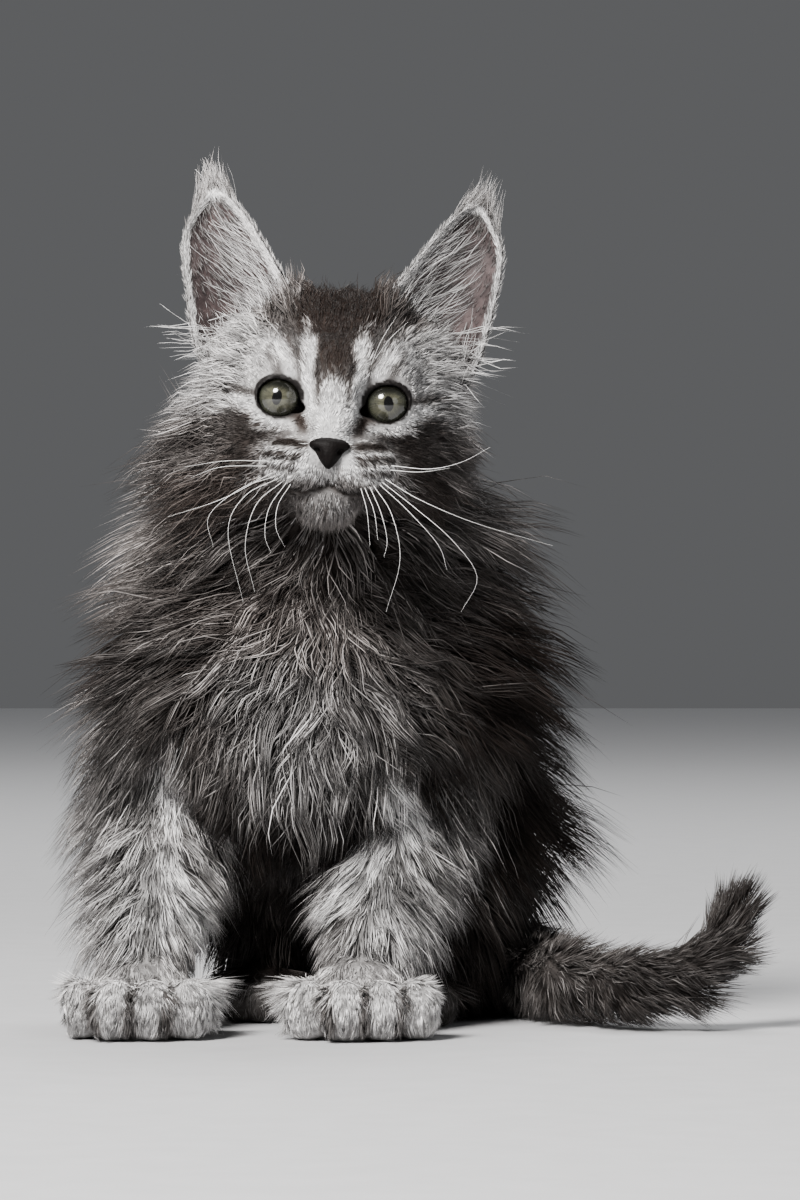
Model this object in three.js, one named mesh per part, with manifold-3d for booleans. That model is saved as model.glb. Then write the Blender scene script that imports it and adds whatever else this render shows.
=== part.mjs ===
// A long-haired kitten of a large, tufted-eared breed, sitting and facing the viewer, life size.
// Millimetres, +Z up, the floor at Z 0, the viewer on the -Y side. The names right and left are the
// kitten's own, so its right side is at -X.
//
// Every part has a core, which is its body with the dense underside of the coat, and most parts carry
// locks of long hair that are rooted in the core. Cores are smooth blends of ellipsoids and round cones.
import * as THREE from 'three';
import { mergeVertices } from 'three/addons/utils/BufferGeometryUtils.js';
import Module from 'manifold-3d';

const wasm = await Module();
wasm.setup();
const Manifold = wasm.Manifold;

// Driving dimensions.
const GAP = 0.3; // between parts that touch
const LOCK_GAP = 0.55; // between locks of two parts that cross
const HEAD_AT = [4, -28, 192];
const HEAD_ROLL = 3.3; // degrees, the kitten's left side lower
const EYE_APART = 30.8;
const EYE_RADIUS = 8.5;
const EYE_Y = -22.5;
const EYE_Z = -0.5;
const NOSE_AT = [0, -46.5, -16.4];
const CHEST_AT = [-3, 6, 104];
const RUMP_AT = [20, 64, 44];
const BODY_YAW = 20; // degrees, how far the rump is swung to the kitten's left
const RIGHT_PAW_AT = [-55, -38, 0];
const LEFT_PAW_AT = [12, -40, 0];

// How far the dense underside of the coat stands off the body.
const HEAD_UNDERCOAT = 1;
const MUZZLE_COAT = 0.6;
const NECK_UNDERCOAT = 11;
const TORSO_UNDERCOAT = 12;
const FORELEG_UNDERCOAT = 4.5;
const HINDLEG_UNDERCOAT = 5;
const PAW_COAT = 0.8;
const TAIL_UNDERCOAT = 4;

const vec = (x, y, z) => new THREE.Vector3(x, y, z);
const at = (list) => new THREE.Vector3(...list);
const UP = vec(0, 0, 1);

// Blended bodies.
// A blob is an ellipsoid or a round cone. Each gives the distance from a point to its surface.
function ellipsoid(centre, radii, turn = [0, 0, 0]) {
  const c = at(centre);
  const back = new THREE.Quaternion()
    .setFromEuler(new THREE.Euler(...turn.map(THREE.MathUtils.degToRad)))
    .invert();
  const p = vec(0, 0, 0);
  return (point, grow) => {
    p.copy(point).sub(c).applyQuaternion(back);
    const [a, b, h] = radii.map((r) => r + grow);
    const k0 = Math.hypot(p.x / a, p.y / b, p.z / h);
    const k1 = Math.hypot(p.x / (a * a), p.y / (b * b), p.z / (h * h));
    return k1 < 1e-9 ? -Math.min(a, b, h) : (k0 * (k0 - 1)) / k1;
  };
}

function roundCone(from, to, fromRadius, toRadius) {
  const a = at(from);
  const axis = at(to).sub(a);
  const length2 = axis.lengthSq();
  const p = vec(0, 0, 0);
  return (point, grow) => {
    p.copy(point).sub(a);
    const t = THREE.MathUtils.clamp(p.dot(axis) / length2, 0, 1);
    p.addScaledVector(axis, -t);
    return p.length() - (fromRadius + (toRadius - fromRadius) * t) - grow;
  };
}

function smoothMin(a, b, k) {
  const h = Math.max(k - Math.abs(a - b), 0) / k;
  return Math.min(a, b) - (h * h * k) / 4;
}

// The distance to a smooth blend of blobs, each grown by the depth of the dense underside of the coat.
const blend = (blobs, k, grow = 0) => (point) =>
  blobs.reduce((d, blob) => smoothMin(d, blob(point, grow), k), 1e3);

const PROBE = 0.2; // step over which slopes are measured
function gradient(field, p) {
  const q = vec(0, 0, 0);
  const slope = (x, y, z) =>
    field(q.set(p.x + x, p.y + y, p.z + z)) - field(q.set(p.x - x, p.y - y, p.z - z));
  return vec(slope(PROBE, 0, 0), slope(0, PROBE, 0), slope(0, 0, PROBE)).divideScalar(2 * PROBE);
}

// The surface of a field as a closed mesh: one vertex in each cell of a grid that the surface crosses,
// moved onto the surface, and one quad across each grid edge whose two ends lie on opposite sides.
function netOf(field, low, high, cell) {
  const n = [0, 1, 2].map((i) => Math.ceil((high[i] - low[i]) / cell) + 2);
  const start = low.map((v) => v - cell);
  const index = (i, j, k) => i + n[0] * (j + n[1] * k);
  const value = new Float64Array(n[0] * n[1] * n[2]);
  const p = vec(0, 0, 0);
  for (let k = 0; k < n[2]; k++)
    for (let j = 0; j < n[1]; j++)
      for (let i = 0; i < n[0]; i++)
        value[index(i, j, k)] = field(
          p.set(start[0] + i * cell, start[1] + j * cell, start[2] + k * cell),
        );
  const points = [];
  const vertexOf = new Map();
  const corners = [0, 1, 2, 3, 4, 5, 6, 7].map((c) => [c & 1, (c >> 1) & 1, c >> 2]);
  const edges = [];
  corners.forEach((a, i) =>
    corners.forEach((b, j) => {
      if (j > i && a.reduce((s, v, m) => s + Math.abs(v - b[m]), 0) === 1) edges.push([i, j]);
    }),
  );
  for (let k = 0; k < n[2] - 1; k++)
    for (let j = 0; j < n[1] - 1; j++)
      for (let i = 0; i < n[0] - 1; i++) {
        const v = corners.map(([a, b, c]) => value[index(i + a, j + b, k + c)]);
        const inside = v.filter((x) => x < 0).length;
        if (inside === 0 || inside === 8) continue;
        const sum = vec(0, 0, 0);
        let crossings = 0;
        for (const [a, b] of edges) {
          if (v[a] < 0 === v[b] < 0) continue;
          const t = v[a] / (v[a] - v[b]);
          sum.x += corners[a][0] + t * (corners[b][0] - corners[a][0]);
          sum.y += corners[a][1] + t * (corners[b][1] - corners[a][1]);
          sum.z += corners[a][2] + t * (corners[b][2] - corners[a][2]);
          crossings++;
        }
        sum.divideScalar(crossings).add(vec(i, j, k)).multiplyScalar(cell).add(at(start));
        for (let step = 0; step < 3; step++) {
          const g = gradient(field, sum);
          const move = field(sum) / Math.max(g.lengthSq(), 0.2);
          sum.addScaledVector(g, -THREE.MathUtils.clamp(move, -0.3 * cell, 0.3 * cell));
        }
        vertexOf.set(index(i, j, k), points.length);
        points.push(sum);
      }
  const faces = [];
  const cellAt = (i, j, k) => vertexOf.get(index(i, j, k));
  for (let k = 1; k < n[2] - 1; k++)
    for (let j = 1; j < n[1] - 1; j++)
      for (let i = 1; i < n[0] - 1; i++) {
        const here = value[index(i, j, k)] < 0;
        const quads = [
          [value[index(i + 1, j, k)] < 0, [[i, j - 1, k - 1], [i, j, k - 1], [i, j, k], [i, j - 1, k]]],
          [value[index(i, j + 1, k)] < 0, [[i - 1, j, k - 1], [i - 1, j, k], [i, j, k], [i, j, k - 1]]],
          [value[index(i, j, k + 1)] < 0, [[i - 1, j - 1, k], [i, j - 1, k], [i, j, k], [i - 1, j, k]]],
        ];
        for (const [there, ring] of quads) {
          if (here === there) continue;
          const [a, b, c, d] = ring.map((r) => cellAt(...r));
          const quad = here ? [a, b, c, d] : [d, c, b, a];
          const across = (m, n) => points[quad[m]].distanceTo(points[quad[n]]);
          const split = across(0, 2) <= across(1, 3) ? [0, 1, 2, 0, 2, 3] : [1, 2, 3, 1, 3, 0];
          faces.push(...split.map((m) => quad[m]));
        }
      }
  return meshOf(points, faces);
}

function meshOf(points, faces) {
  const geometry = new THREE.BufferGeometry().setFromPoints(points);
  geometry.setIndex(faces);
  return geometry;
}

// A closed skin over rings of points that run anticlockwise about the way from the first ring to the last.
function loft(rings, first, last) {
  const n = rings[0].length;
  const points = [...rings.flat(), first, last];
  const faces = [];
  for (let r = 0; r < rings.length - 1; r++)
    for (let i = 0; i < n; i++) {
      const a = r * n + i;
      const b = r * n + ((i + 1) % n);
      faces.push(a, b, b + n, a, b + n, a + n);
    }
  const head = rings.length * n;
  const end = (rings.length - 1) * n;
  for (let i = 0; i < n; i++) {
    const next = (i + 1) % n;
    faces.push(head, next, i, head + 1, end + i, end + next);
  }
  return meshOf(points, faces);
}

// Joining and cutting.
function solidOf(geometry) {
  const bare = geometry.clone();
  for (const name of Object.keys(bare.attributes)) if (name !== 'position') bare.deleteAttribute(name);
  const merged = mergeVertices(bare, 1e-4);
  return new Manifold(
    new wasm.Mesh({
      numProp: 3,
      vertProperties: new Float32Array(merged.attributes.position.array),
      triVerts: new Uint32Array(merged.index.array),
    }),
  );
}

const CELL_SHRINK = 0.97; // of a net that doesn't close
const join = (solids) => Manifold.union(solids);
const largest = (solid) => solid.decompose().reduce((a, b) => (b.volume() > a.volume() ? b : a));

function geometryOf(solid) {
  const mesh = solid.getMesh();
  const points = [];
  for (let i = 0; i < mesh.numVert; i++) {
    const first = i * mesh.numProp;
    points.push(vec(...mesh.vertProperties.subarray(first, first + 3)));
  }
  return meshOf(points, [...mesh.triVerts]);
}

// The solid inside a field's net. A net that touches itself isn't closed, so its cells are made smaller.
function closedNet(field, low, high, cell) {
  try {
    return solidOf(netOf(field, low, high, cell));
  } catch {
    return closedNet(field, low, high, cell * CELL_SHRINK);
  }
}

// A core from a field, in a frame of its own. Its net is thinned where the surface is nearly flat,
// and a grown core is the same net pushed outwards.
function coreOf(field, low, high, cell, thin, matrix = new THREE.Matrix4()) {
  const net = geometryOf(largest(closedNet(field, low, high, cell).simplify(thin)));
  const points = [];
  for (let i = 0; i < net.attributes.position.count; i++)
    points.push(vec(0, 0, 0).fromBufferAttribute(net.attributes.position, i));
  const normals = points.map((p) => gradient(field, p).normalize());
  return (grow) => {
    const moved = points.map((p, i) => p.clone().addScaledVector(normals[i], grow));
    return solidOf(meshOf(moved, [...net.index.array]).applyMatrix4(matrix));
  };
}

// Locks of hair.
// Seeded, so that every build draws the same locks.
let seed = 20241;
function random(low, high) {
  seed = (seed + 0x6d2b79f5) | 0;
  let t = Math.imul(seed ^ (seed >>> 15), 1 | seed);
  t = (t + Math.imul(t ^ (t >>> 7), 61 | t)) ^ t;
  return low + ((high - low) * ((t ^ (t >>> 14)) >>> 0)) / 4294967296;
}

const radians = THREE.MathUtils.degToRad;
const RING_AT = [0, 0.38, 0.74]; // shares of a lock's length
const RING_WIDTH = [0.65, 1, 0.6];
const RING_THICK = [1, 0.9, 0.5];
const TIP_FROM_LAST = 1 - RING_AT[RING_AT.length - 1];

// A flat, tapered lock with a ridge along its back. It starts inside the core, leaves it at the angle
// lift above the surface and turns by settle, by curl to one side and by fall towards the floor.
function lock(hair, grow) {
  const { root, out, lie, length, width, thick, lift, settle, curl, fall, sink } = hair;
  const side = out.clone().cross(lie).normalize();
  const way = (t) => {
    const angle = radians(lift + settle * t);
    return lie.clone().applyAxisAngle(out, radians(curl * (t - 0.3))).multiplyScalar(Math.cos(angle))
      .addScaledVector(out, Math.sin(angle)).addScaledVector(UP, -fall * t).normalize();
  };
  const p = root.clone().addScaledVector(out, -sink);
  const rings = RING_AT.map((t, i) => {
    const before = RING_AT[i - 1] ?? 0;
    p.addScaledVector(way((t + before) / 2), (t - before) * length);
    const centre = p.clone().addScaledVector(way(t), i ? 0 : -grow);
    const half = (width * RING_WIDTH[i]) / 2;
    const high = thick * RING_THICK[i];
    const slope = Math.hypot(half, high);
    const across = side.clone().multiplyScalar(half + (grow * (slope + half)) / high);
    const back = way(t).cross(side).normalize();
    const ridge = centre.clone().addScaledVector(back, high + (grow * slope) / half);
    centre.addScaledVector(back, -grow);
    return [centre.clone().add(across), ridge, centre.sub(across)];
  });
  const first = rings[0].reduce((sum, q) => sum.add(q), vec(0, 0, 0)).divideScalar(3);
  p.addScaledVector(way(0.9), TIP_FROM_LAST * length + 3 * grow);
  return solidOf(loft(rings, first, p));
}

const LONGEST_RAY = 120;
const RAY_STEP = 2;
const HALVINGS = 14;

// The point where a ray from inside a field leaves it, with the surface's normal there.
function surfaceFrom(field, from, way) {
  let low = 0;
  let high = 1;
  const p = vec(0, 0, 0);
  const reached = (t) => field(p.copy(from).addScaledVector(way, t));
  while (reached(high) < 0 && high < LONGEST_RAY) high += RAY_STEP;
  for (let i = 0; i < HALVINGS; i++) {
    const middle = (low + high) / 2;
    if (reached(middle) < 0) low = middle;
    else high = middle;
  }
  reached(high);
  return { root: p.clone(), out: gradient(field, p).normalize() };
}

// A flow direction laid into the surface.
const along = (flow, out) => flow.clone().addScaledVector(out, -flow.dot(out)).normalize();

const HAIR = { settle: -14, fall: 0, sink: 4, thick: 2.6, lift: 30, curl: 0 };

// One lock on the surface of a field, where a ray from inside leaves it.
function lockAt(field, from, way, flow, hair) {
  const { root, out } = surfaceFrom(field, from, way);
  return { ...HAIR, root, out, lie: along(flow, out), ...hair };
}

// Locks in uneven rings round the axis from one point to another. An angle of 0 faces the viewer and
// 90 the kitten's left. Each measure of a lock is a number or a function of the root, normal and angle.
function ringsOfLocks(field, { from, to, rings, count, arc = [-180, 180], flow, keep, ...hair }) {
  const a = at(from);
  const axis = at(to).sub(a);
  const front = vec(0, -1, 0).projectOnPlane(axis.clone().normalize()).normalize();
  const left = front.clone().cross(axis).normalize();
  if (left.x < 0) left.negate();
  const made = [];
  for (let r = 0; r < rings; r++)
    for (let i = 0; i < count; i++) {
      const degrees = arc[0] + ((arc[1] - arc[0]) * (i + 0.5 * (r % 2) + random(0.05, 0.55))) / count;
      const angle = radians(degrees);
      const centre = a.clone().addScaledVector(axis, (r + random(0.1, 0.9)) / rings);
      const way = front.clone().multiplyScalar(Math.cos(angle)).addScaledVector(left, Math.sin(angle));
      const { root, out } = surfaceFrom(field, centre, way);
      const spread = { length: random(0.8, 1.2), width: random(0.85, 1.15) };
      const shift = { lift: random(-7, 7), curl: random(-28, 28) };
      const swing = radians(random(-15, 15));
      if (keep && !keep(root, out, degrees)) continue;
      const measured = Object.entries({ ...HAIR, ...hair }).map(([name, v]) => {
        const value = typeof v === 'function' ? v(root, out, degrees) : v;
        return [name, value * (spread[name] ?? 1) + (shift[name] ?? 0)];
      });
      const lie = along(flow(root, out, degrees), out).applyAxisAngle(out, swing);
      made.push({ root, out, lie, ...Object.fromEntries(measured) });
    }
  return made;
}

// The list of parts, in the order in which they claim space. A part has a core, the field that its
// core was made from, and a function that draws its locks.
const parts = [];
const NO_FIELD = () => 1e3;
function addPart(name, colour, group, core, field = NO_FIELD, hair = () => []) {
  parts.push({ name, colour, group, core, field, hair });
}

const body = new THREE.Group();
const head = new THREE.Group();
head.position.set(...HEAD_AT);
head.rotation.y = radians(HEAD_ROLL);
body.add(head);
body.updateMatrixWorld(true);
const headMatrix = head.matrixWorld;
const headBack = headMatrix.clone().invert();
const inHead = (list) => at(list).applyMatrix4(headMatrix);
const placed = (geometry) => solidOf(geometry.clone().applyMatrix4(headMatrix));
const paired = (make) => [make(-1), make(1)];
const sideName = (side) => (side < 0 ? '_right' : '_left');

const SILVER = 0x9c9894;
const SMOKE = 0x5b5350;
const PALE = 0xbab6b2;
const IRIS = 0x6f7358;
const NOSE_SKIN = 0x17130f;

// Eyes: a whole ball in each socket.
const EYE_SEGMENTS = [12, 8];
for (const side of [-1, 1])
  addPart('eye' + sideName(side), IRIS, head, (grow) =>
    placed(new THREE.SphereGeometry(EYE_RADIUS + grow, ...EYE_SEGMENTS).rotateX(Math.PI / 2)
      .translate((side * EYE_APART) / 2, EYE_Y, EYE_Z)));

// Nose pad: a triangle of bare skin, wide at the top, with a nostril on either side.
const NOSE_TOP_RADII = [5.4, 3.4, 2.4];
const NOSE_FOOT_RADII = [2.4, 3, 3.2];
const NOSTRIL_RADII = [1.5, 2.4, 0.8];
const NOSTRIL_AT = [2.9, -2.8, 0.5]; // from the middle of the pad
const NOSTRIL_TURN = 29; // degrees
const noseField = blend([
  ellipsoid([0, NOSE_AT[1] + 0.8, NOSE_AT[2] + 1.8], NOSE_TOP_RADII),
  ellipsoid([0, NOSE_AT[1] + 0.3, NOSE_AT[2] - 1.6], NOSE_FOOT_RADII),
], 2.5);
const noseBox = [[-7, NOSE_AT[1] - 6, -24], [7, NOSE_AT[1] + 6, -9]];
const nosePad = coreOf(noseField, ...noseBox, 1.8, 0.16, headMatrix);
const nostrils = paired((s) =>
  placed(new THREE.SphereGeometry(1, 8, 6).scale(...NOSTRIL_RADII).rotateY(s * radians(NOSTRIL_TURN))
    .translate(s * NOSTRIL_AT[0], NOSE_AT[1] + NOSTRIL_AT[1], NOSE_AT[2] + NOSTRIL_AT[2])));
addPart('nose', NOSE_SKIN, head, (grow) => (grow ? nosePad(grow) : nosePad(0).subtract(join(nostrils))));

// Head: cranium, brows, cheeks, bridge of the nose, muzzle pads, chin and jaw in one blend, with the
// sockets pressed in, the lids laid round the eyes and the line of the mouth cut.
const flesh = blend([
  ellipsoid([0, 6, 6], [31, 33, 25.5]),
  ellipsoid([0, -14, -4], [25, 22, 21]),
  ellipsoid([0, -10, -21], [20, 23, 13]),
  roundCone([0, -27, 9], [0, -41, -13.5], 8, 5.4),
  ...paired((s) => ellipsoid([s * 18, -6, -9], [16, 21, 19])),
  ...paired((s) => ellipsoid([s * 13, -19, 10], [10, 10, 8])),
], 7, HEAD_UNDERCOAT);
const muzzle = blend([
  ...paired((s) => ellipsoid([s * 9, -36, -20.6], [11.6, 11.5, 8.6])),
  ellipsoid([0, -33, -30.6], [9.8, 9.4, 6.2]),
], 2.4, MUZZLE_COAT);
const SOCKET_RADII = [9, 8, 7.6];
const SOCKET_AT = [EYE_APART / 2 + 0.6, EYE_Y - 11.5, EYE_Z];
const SOFT = 4; // depth of the blends between flesh, muzzle and sockets
const sockets = paired((s) => ellipsoid([s * SOCKET_AT[0], SOCKET_AT[1], SOCKET_AT[2]], SOCKET_RADII));
const headField = (p) => {
  const whole = smoothMin(flesh(p), muzzle(p), SOFT);
  return -sockets.reduce((d, socket) => smoothMin(d, socket(p, 0), SOFT), -whole);
};
const headPoint = vec(0, 0, 0);
const headFieldInWorld = (p) => headField(headPoint.copy(p).applyMatrix4(headBack));

const LID_RADII = [7.2, 6.3, 6.2];
const LID_TUBE = 0.19; // share of the lid's own radius
const LID_FORWARD = 5.4; // from the middle of the eye
const OPENING_RADII = [6.6, 5.7, 1];
const OPENING_TAPER = [1.5, 0.92]; // radius of the opening's cutter in front of the lids and at the eye
const OPENING_LONG = 14;
const EYE_SLANT = 9; // degrees, the outer corner higher
const EYE_SPLAY = 9.7; // degrees, how far each eye looks outwards
const lidAt = (side, geometry) =>
  geometry.rotateX(Math.PI / 2).rotateZ(side * radians(EYE_SPLAY)).rotateY(-side * radians(EYE_SLANT))
    .translate((side * EYE_APART) / 2, EYE_Y, EYE_Z);
const lids = paired((s) => placed(lidAt(s,
  new THREE.TorusGeometry(1, LID_TUBE, 4, 14).scale(...LID_RADII).translate(0, 0, LID_FORWARD))));
const openings = paired((s) => placed(lidAt(s,
  new THREE.CylinderGeometry(...OPENING_TAPER, OPENING_LONG, 12).rotateX(Math.PI / 2)
    .scale(...OPENING_RADII).translate(0, 0, OPENING_LONG - 2))));

// The line of the mouth: its right half from the corner inwards, and the point under the nose.
const MOUTH_HALF = [[15.5, -34, -24.6], [12, -41, -26.8], [7, -46, -28.2], [3, -47.6, -26.6]];
const MOUTH_MIDDLE = [0, -47.8, -24.6];
const MOUTH_DEEP = 2.9;
const MOUTH_OPEN = 0.6;
const MOUTH_STEPS = 8;
const GROOVE = [0.9, 5, 8]; // under the nose
const GROOVE_AT = [0, -48.4, -23];
function mouthLine() {
  const away = MOUTH_HALF.map(([x, y, z]) => vec(-x, y, z));
  const curve = new THREE.CatmullRomCurve3([...away, at(MOUTH_MIDDLE), ...MOUTH_HALF.map(at).reverse()]);
  const rings = [];
  for (let i = 0; i <= MOUTH_STEPS; i++) {
    const way = curve.getTangentAt(i / MOUTH_STEPS);
    const deep = way.clone().cross(UP).normalize().multiplyScalar(MOUTH_DEEP);
    const high = deep.clone().cross(way).normalize().multiplyScalar(MOUTH_OPEN);
    const centre = curve.getPointAt(i / MOUTH_STEPS);
    rings.push([deep, high.negate(), deep.clone().negate(), high.clone().negate()]
      .map((q) => q.clone().add(centre)));
  }
  return loft(rings, curve.getPointAt(0), curve.getPointAt(1));
}
const mouth = [mouthLine(), new THREE.BoxGeometry(...GROOVE).translate(...GROOVE_AT)].map(placed);

// Cheek hair sweeps back and down from the side of the face, with short locks under the jaw. Each lock
// is given as a point it grows through, then its length, width and lift.
const CHEEK = [
  [34, 12, 12, 27, 13, 46], [36, 4, 0, 33, 13, 56], [34, 14, -8, 34, 14, 52], [35, -4, -9, 28, 12, 46],
  [31, 4, -18, 32, 14, 50], [27, -10, -22, 22, 12, 34], [24, 12, -24, 29, 14, 42], [26, 24, 6, 26, 14, 30],
  [14, -14, -33, 20, 12, 22],
];
const cheekHair = () => [-1, 1].flatMap((side) =>
  CHEEK.map(([x, y, z, length, width, lift]) => {
    const centre = inHead([side * 6, 2, 0]);
    const way = inHead([side * x, y, z]).sub(centre).normalize();
    const flow = vec(side * 0.5, 0.4, random(-0.75, -0.45));
    const hair = { length, width, lift, curl: random(-20, 20), fall: 0.1 };
    return lockAt(headFieldInWorld, centre, way, flow, hair);
  }));
const skull = coreOf(headField, [-42, -54, -44], [42, 46, 40], 4.6, 0.6, headMatrix);
const headCore = (grow) =>
  (grow ? skull(grow) : join([skull(0), ...lids]).subtract(join([...openings, ...mouth])));
addPart('head', SILVER, head, headCore, headFieldInWorld, cheekHair);

// Ears: a thin cup of gristle and skin, open to the front. Each edge runs from the foot to the tip.
const EAR_THICK = 2;
const EAR_THINNING = 0.35; // share lost by the tip
const EAR_CUP = 13; // depth of the cup at the foot
const EAR_FLAT = 1.2; // and at the tip
const EAR_ACROSS = 6;
const EAR_UP = 6;
const EAR_INNER = [[12, 3, 20], [14.5, 0.5, 31], [23, 0, 44], [33, 4, 56.5], [41, 8, 65]];
const EAR_OUTER = [[36, 10, 0], [43, 3, 15], [46, 2.5, 32], [46, 5, 50], [43.5, 8.6, 64.5]];

// A closed sheet between two grids of points that are split into triangles alike.
function sheetOf(front, back, across, up, mirrored) {
  const row = across + 1;
  const n = front.length;
  const faces = [];
  const triangle = (a, b, c) => faces.push(...(mirrored ? [a, b, c] : [a, c, b]));
  const quad = (a, b, c, d) => {
    triangle(a, b, c);
    triangle(a, c, d);
  };
  for (let j = 0; j < up; j++)
    for (let i = 0; i < across; i++) {
      const [a, b, c, d] = [j * row + i, j * row + i + 1, (j + 1) * row + i + 1, (j + 1) * row + i];
      quad(a, b, c, d);
      triangle(n + a, n + c, n + b);
      triangle(n + a, n + d, n + c);
    }
  for (let i = 0; i < across; i++) {
    const top = up * row + i;
    quad(n + i, n + i + 1, i + 1, i);
    quad(top, top + 1, n + top + 1, n + top);
  }
  for (let j = 0; j < up; j++) {
    const [inner, outer] = [j * row, j * row + across];
    quad(inner, inner + row, n + inner + row, n + inner);
    quad(n + outer, n + outer + row, outer + row, outer);
  }
  return meshOf([...front, ...back], faces);
}

function ear(side, grow) {
  const edge = (points) => new THREE.CatmullRomCurve3(points.map(([x, y, z]) => vec(side * x, y, z)));
  const inner = edge(EAR_INNER);
  const outer = edge(EAR_OUTER);
  const middle = (u, v) => {
    const cup = EAR_CUP * (1 - v) ** 0.8 + EAR_FLAT;
    return inner.getPoint(v).lerp(outer.getPoint(v), (u + 1) / 2).add(vec(0, cup * (1 - u * u), 0));
  };
  const front = [];
  const back = [];
  const step = 0.02;
  for (let j = 0; j <= EAR_UP; j++)
    for (let i = 0; i <= EAR_ACROSS; i++) {
      const u = (2 * i) / EAR_ACROSS - 1;
      const v = j / EAR_UP;
      const across = middle(u + step, v).sub(middle(u - step, v));
      const upward = middle(u, Math.min(v + step, 1)).sub(middle(u, Math.max(v - step, 0)));
      const normal = across.clone().cross(upward).normalize().multiplyScalar(side);
      const half = (EAR_THICK * (1 - EAR_THINNING * v)) / 2 + grow;
      const p = middle(u, v);
      if (i === 0 || i === EAR_ACROSS) p.addScaledVector(across.normalize(), u * grow);
      if (j === 0) p.addScaledVector(UP, -grow);
      if (j === EAR_UP) p.addScaledVector(UP, grow);
      front.push(p.clone().addScaledVector(normal, half));
      back.push(p.clone().addScaledVector(normal, -half));
    }
  return sheetOf(front, back, EAR_ACROSS, EAR_UP, side > 0);
}

// A tuft leaves the tip of each ear, and long hair crosses the cup from the inner edge. A tuft lock is
// given as the x it grows at, its lean, length and width, and a cup lock as its x, z and length.
const TIP_TUFT = [[42, -0.3, 11, 5], [42.8, 0.02, 15, 5]];
const CUP_HAIR = [[15.5, 28, 21], [18.5, 37, 21], [25, 45, 16]];
function earHair(side) {
  const hair = (root, lie, measures) => ({
    ...HAIR,
    root: inHead(root),
    out: vec(0, -1, 0),
    lie: at(lie).normalize(),
    settle: -8,
    sink: 0.8,
    ...measures,
  });
  return [
    ...TIP_TUFT.map(([x, lean, length, width]) =>
      hair([side * x, 7.8, 60], [side * lean, 0, 1],
        { length, width, lift: -6, curl: side * 14, thick: 1.7 })),
    ...CUP_HAIR.map(([x, z, length]) =>
      hair([side * x, 3.4, z], [side * 0.9, 0, 0.55],
        { length, width: 5.4, lift: 12, curl: side * -22, thick: 1.5 })),
  ];
}
for (const side of [-1, 1]) {
  const cup = (grow) => placed(ear(side, grow));
  addPart('ear' + sideName(side), PALE, head, cup, NO_FIELD, () => earHair(side));
}

// How far round to the kitten's side an angle is: 0 in front and behind, 1 at the side.
const sideways = (degrees) => Math.abs(Math.sin(radians(degrees)));

// Neck and ruff: the hair stands out at the sides and hangs over the chest and shoulders.
const neckField = blend([
  roundCone([3, -8, 176], [1, 10, 134], 20, 30),
  ellipsoid([3, 4, 150], [30, 24, 16]),
], 8, NECK_UNDERCOAT);
const RUFF = {
  flow: (root) => vec((root.x - 3) * 0.012, 0.05, -1), length: 40, width: 17, settle: -18, fall: 0.15,
};
const ruff = () => [
  ...ringsOfLocks(neckField, {
    ...RUFF, from: [3, -2, 182], to: [1, 10, 124], rings: 4, count: 9,
    lift: (root, out, degrees) => 16 + 44 * sideways(degrees),
  }),
  ...ringsOfLocks(neckField, {
    ...RUFF, from: [3, 6, 194], to: [3, 6, 186], rings: 1, count: 4, arc: [110, 250], lift: 22,
  }),
];
const neckCore = coreOf(neckField, [-60, -70, 76], [64, 66, 216], 11, 2.3);
addPart('neck', SMOKE, body, neckCore, neckField, ruff);

// Torso: thorax, shoulders, withers, belly and rump. The coat stands out from the flanks.
const torsoField = blend([
  ellipsoid(CHEST_AT, [33, 35, 44]),
  ellipsoid([-31, 2, 106], [17, 22, 32]),
  ellipsoid([26, 6, 108], [17, 22, 30]),
  ellipsoid([2, 26, 128], [24, 22, 24]),
  ellipsoid([8, 38, 76], [37, 40, 46]),
  ellipsoid(RUMP_AT, [37, 38, 42]),
], 14, TORSO_UNDERCOAT);
const torsoFlow = (root) => vec(0.012 * (root.x - 5), 0.25, -1);
const bibFlow = (root) => vec(-0.01 * (root.x + 12), -0.1, -1);
const torsoHair = () => [
  ...ringsOfLocks(torsoField, {
    from: [0, 6, 150], to: [8, 34, 70], rings: 6, count: 9, flow: torsoFlow, length: 41, width: 18,
    lift: (root, out, degrees) => 18 + 38 * sideways(degrees), fall: 0.12,
  }),
  ...ringsOfLocks(torsoField, {
    from: [12, 46, 66], to: [20, 64, 14], rings: 3, count: 8, arc: [50, 320], flow: torsoFlow, length: 34,
    width: 18, lift: (root, out, degrees) => 20 + 26 * sideways(degrees), fall: 0.1,
    keep: (root) => root.z > 15,
  }),
  ...ringsOfLocks(torsoField, {
    from: [-8, 6, 94], to: [-8, 8, 74], rings: 2, count: 3, arc: [-26, 26], flow: bibFlow, length: 40,
    width: 14, lift: 16, settle: -22,
  }),
];
const torsoCore = coreOf(torsoField, [-96, -70, -28], [104, 140, 190], 14, 3);
addPart('torso', SMOKE, body, torsoCore, torsoField, torsoHair);

// The lowest and highest corners of a box round some points, with room for the radii about them.
const corner = (points, pick, room) => [0, 1, 2].map((i) => pick(...points.map((p) => p[i])) + room);
const boxRound = (points, room) => [corner(points, Math.min, -room), corner(points, Math.max, room)];

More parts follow.
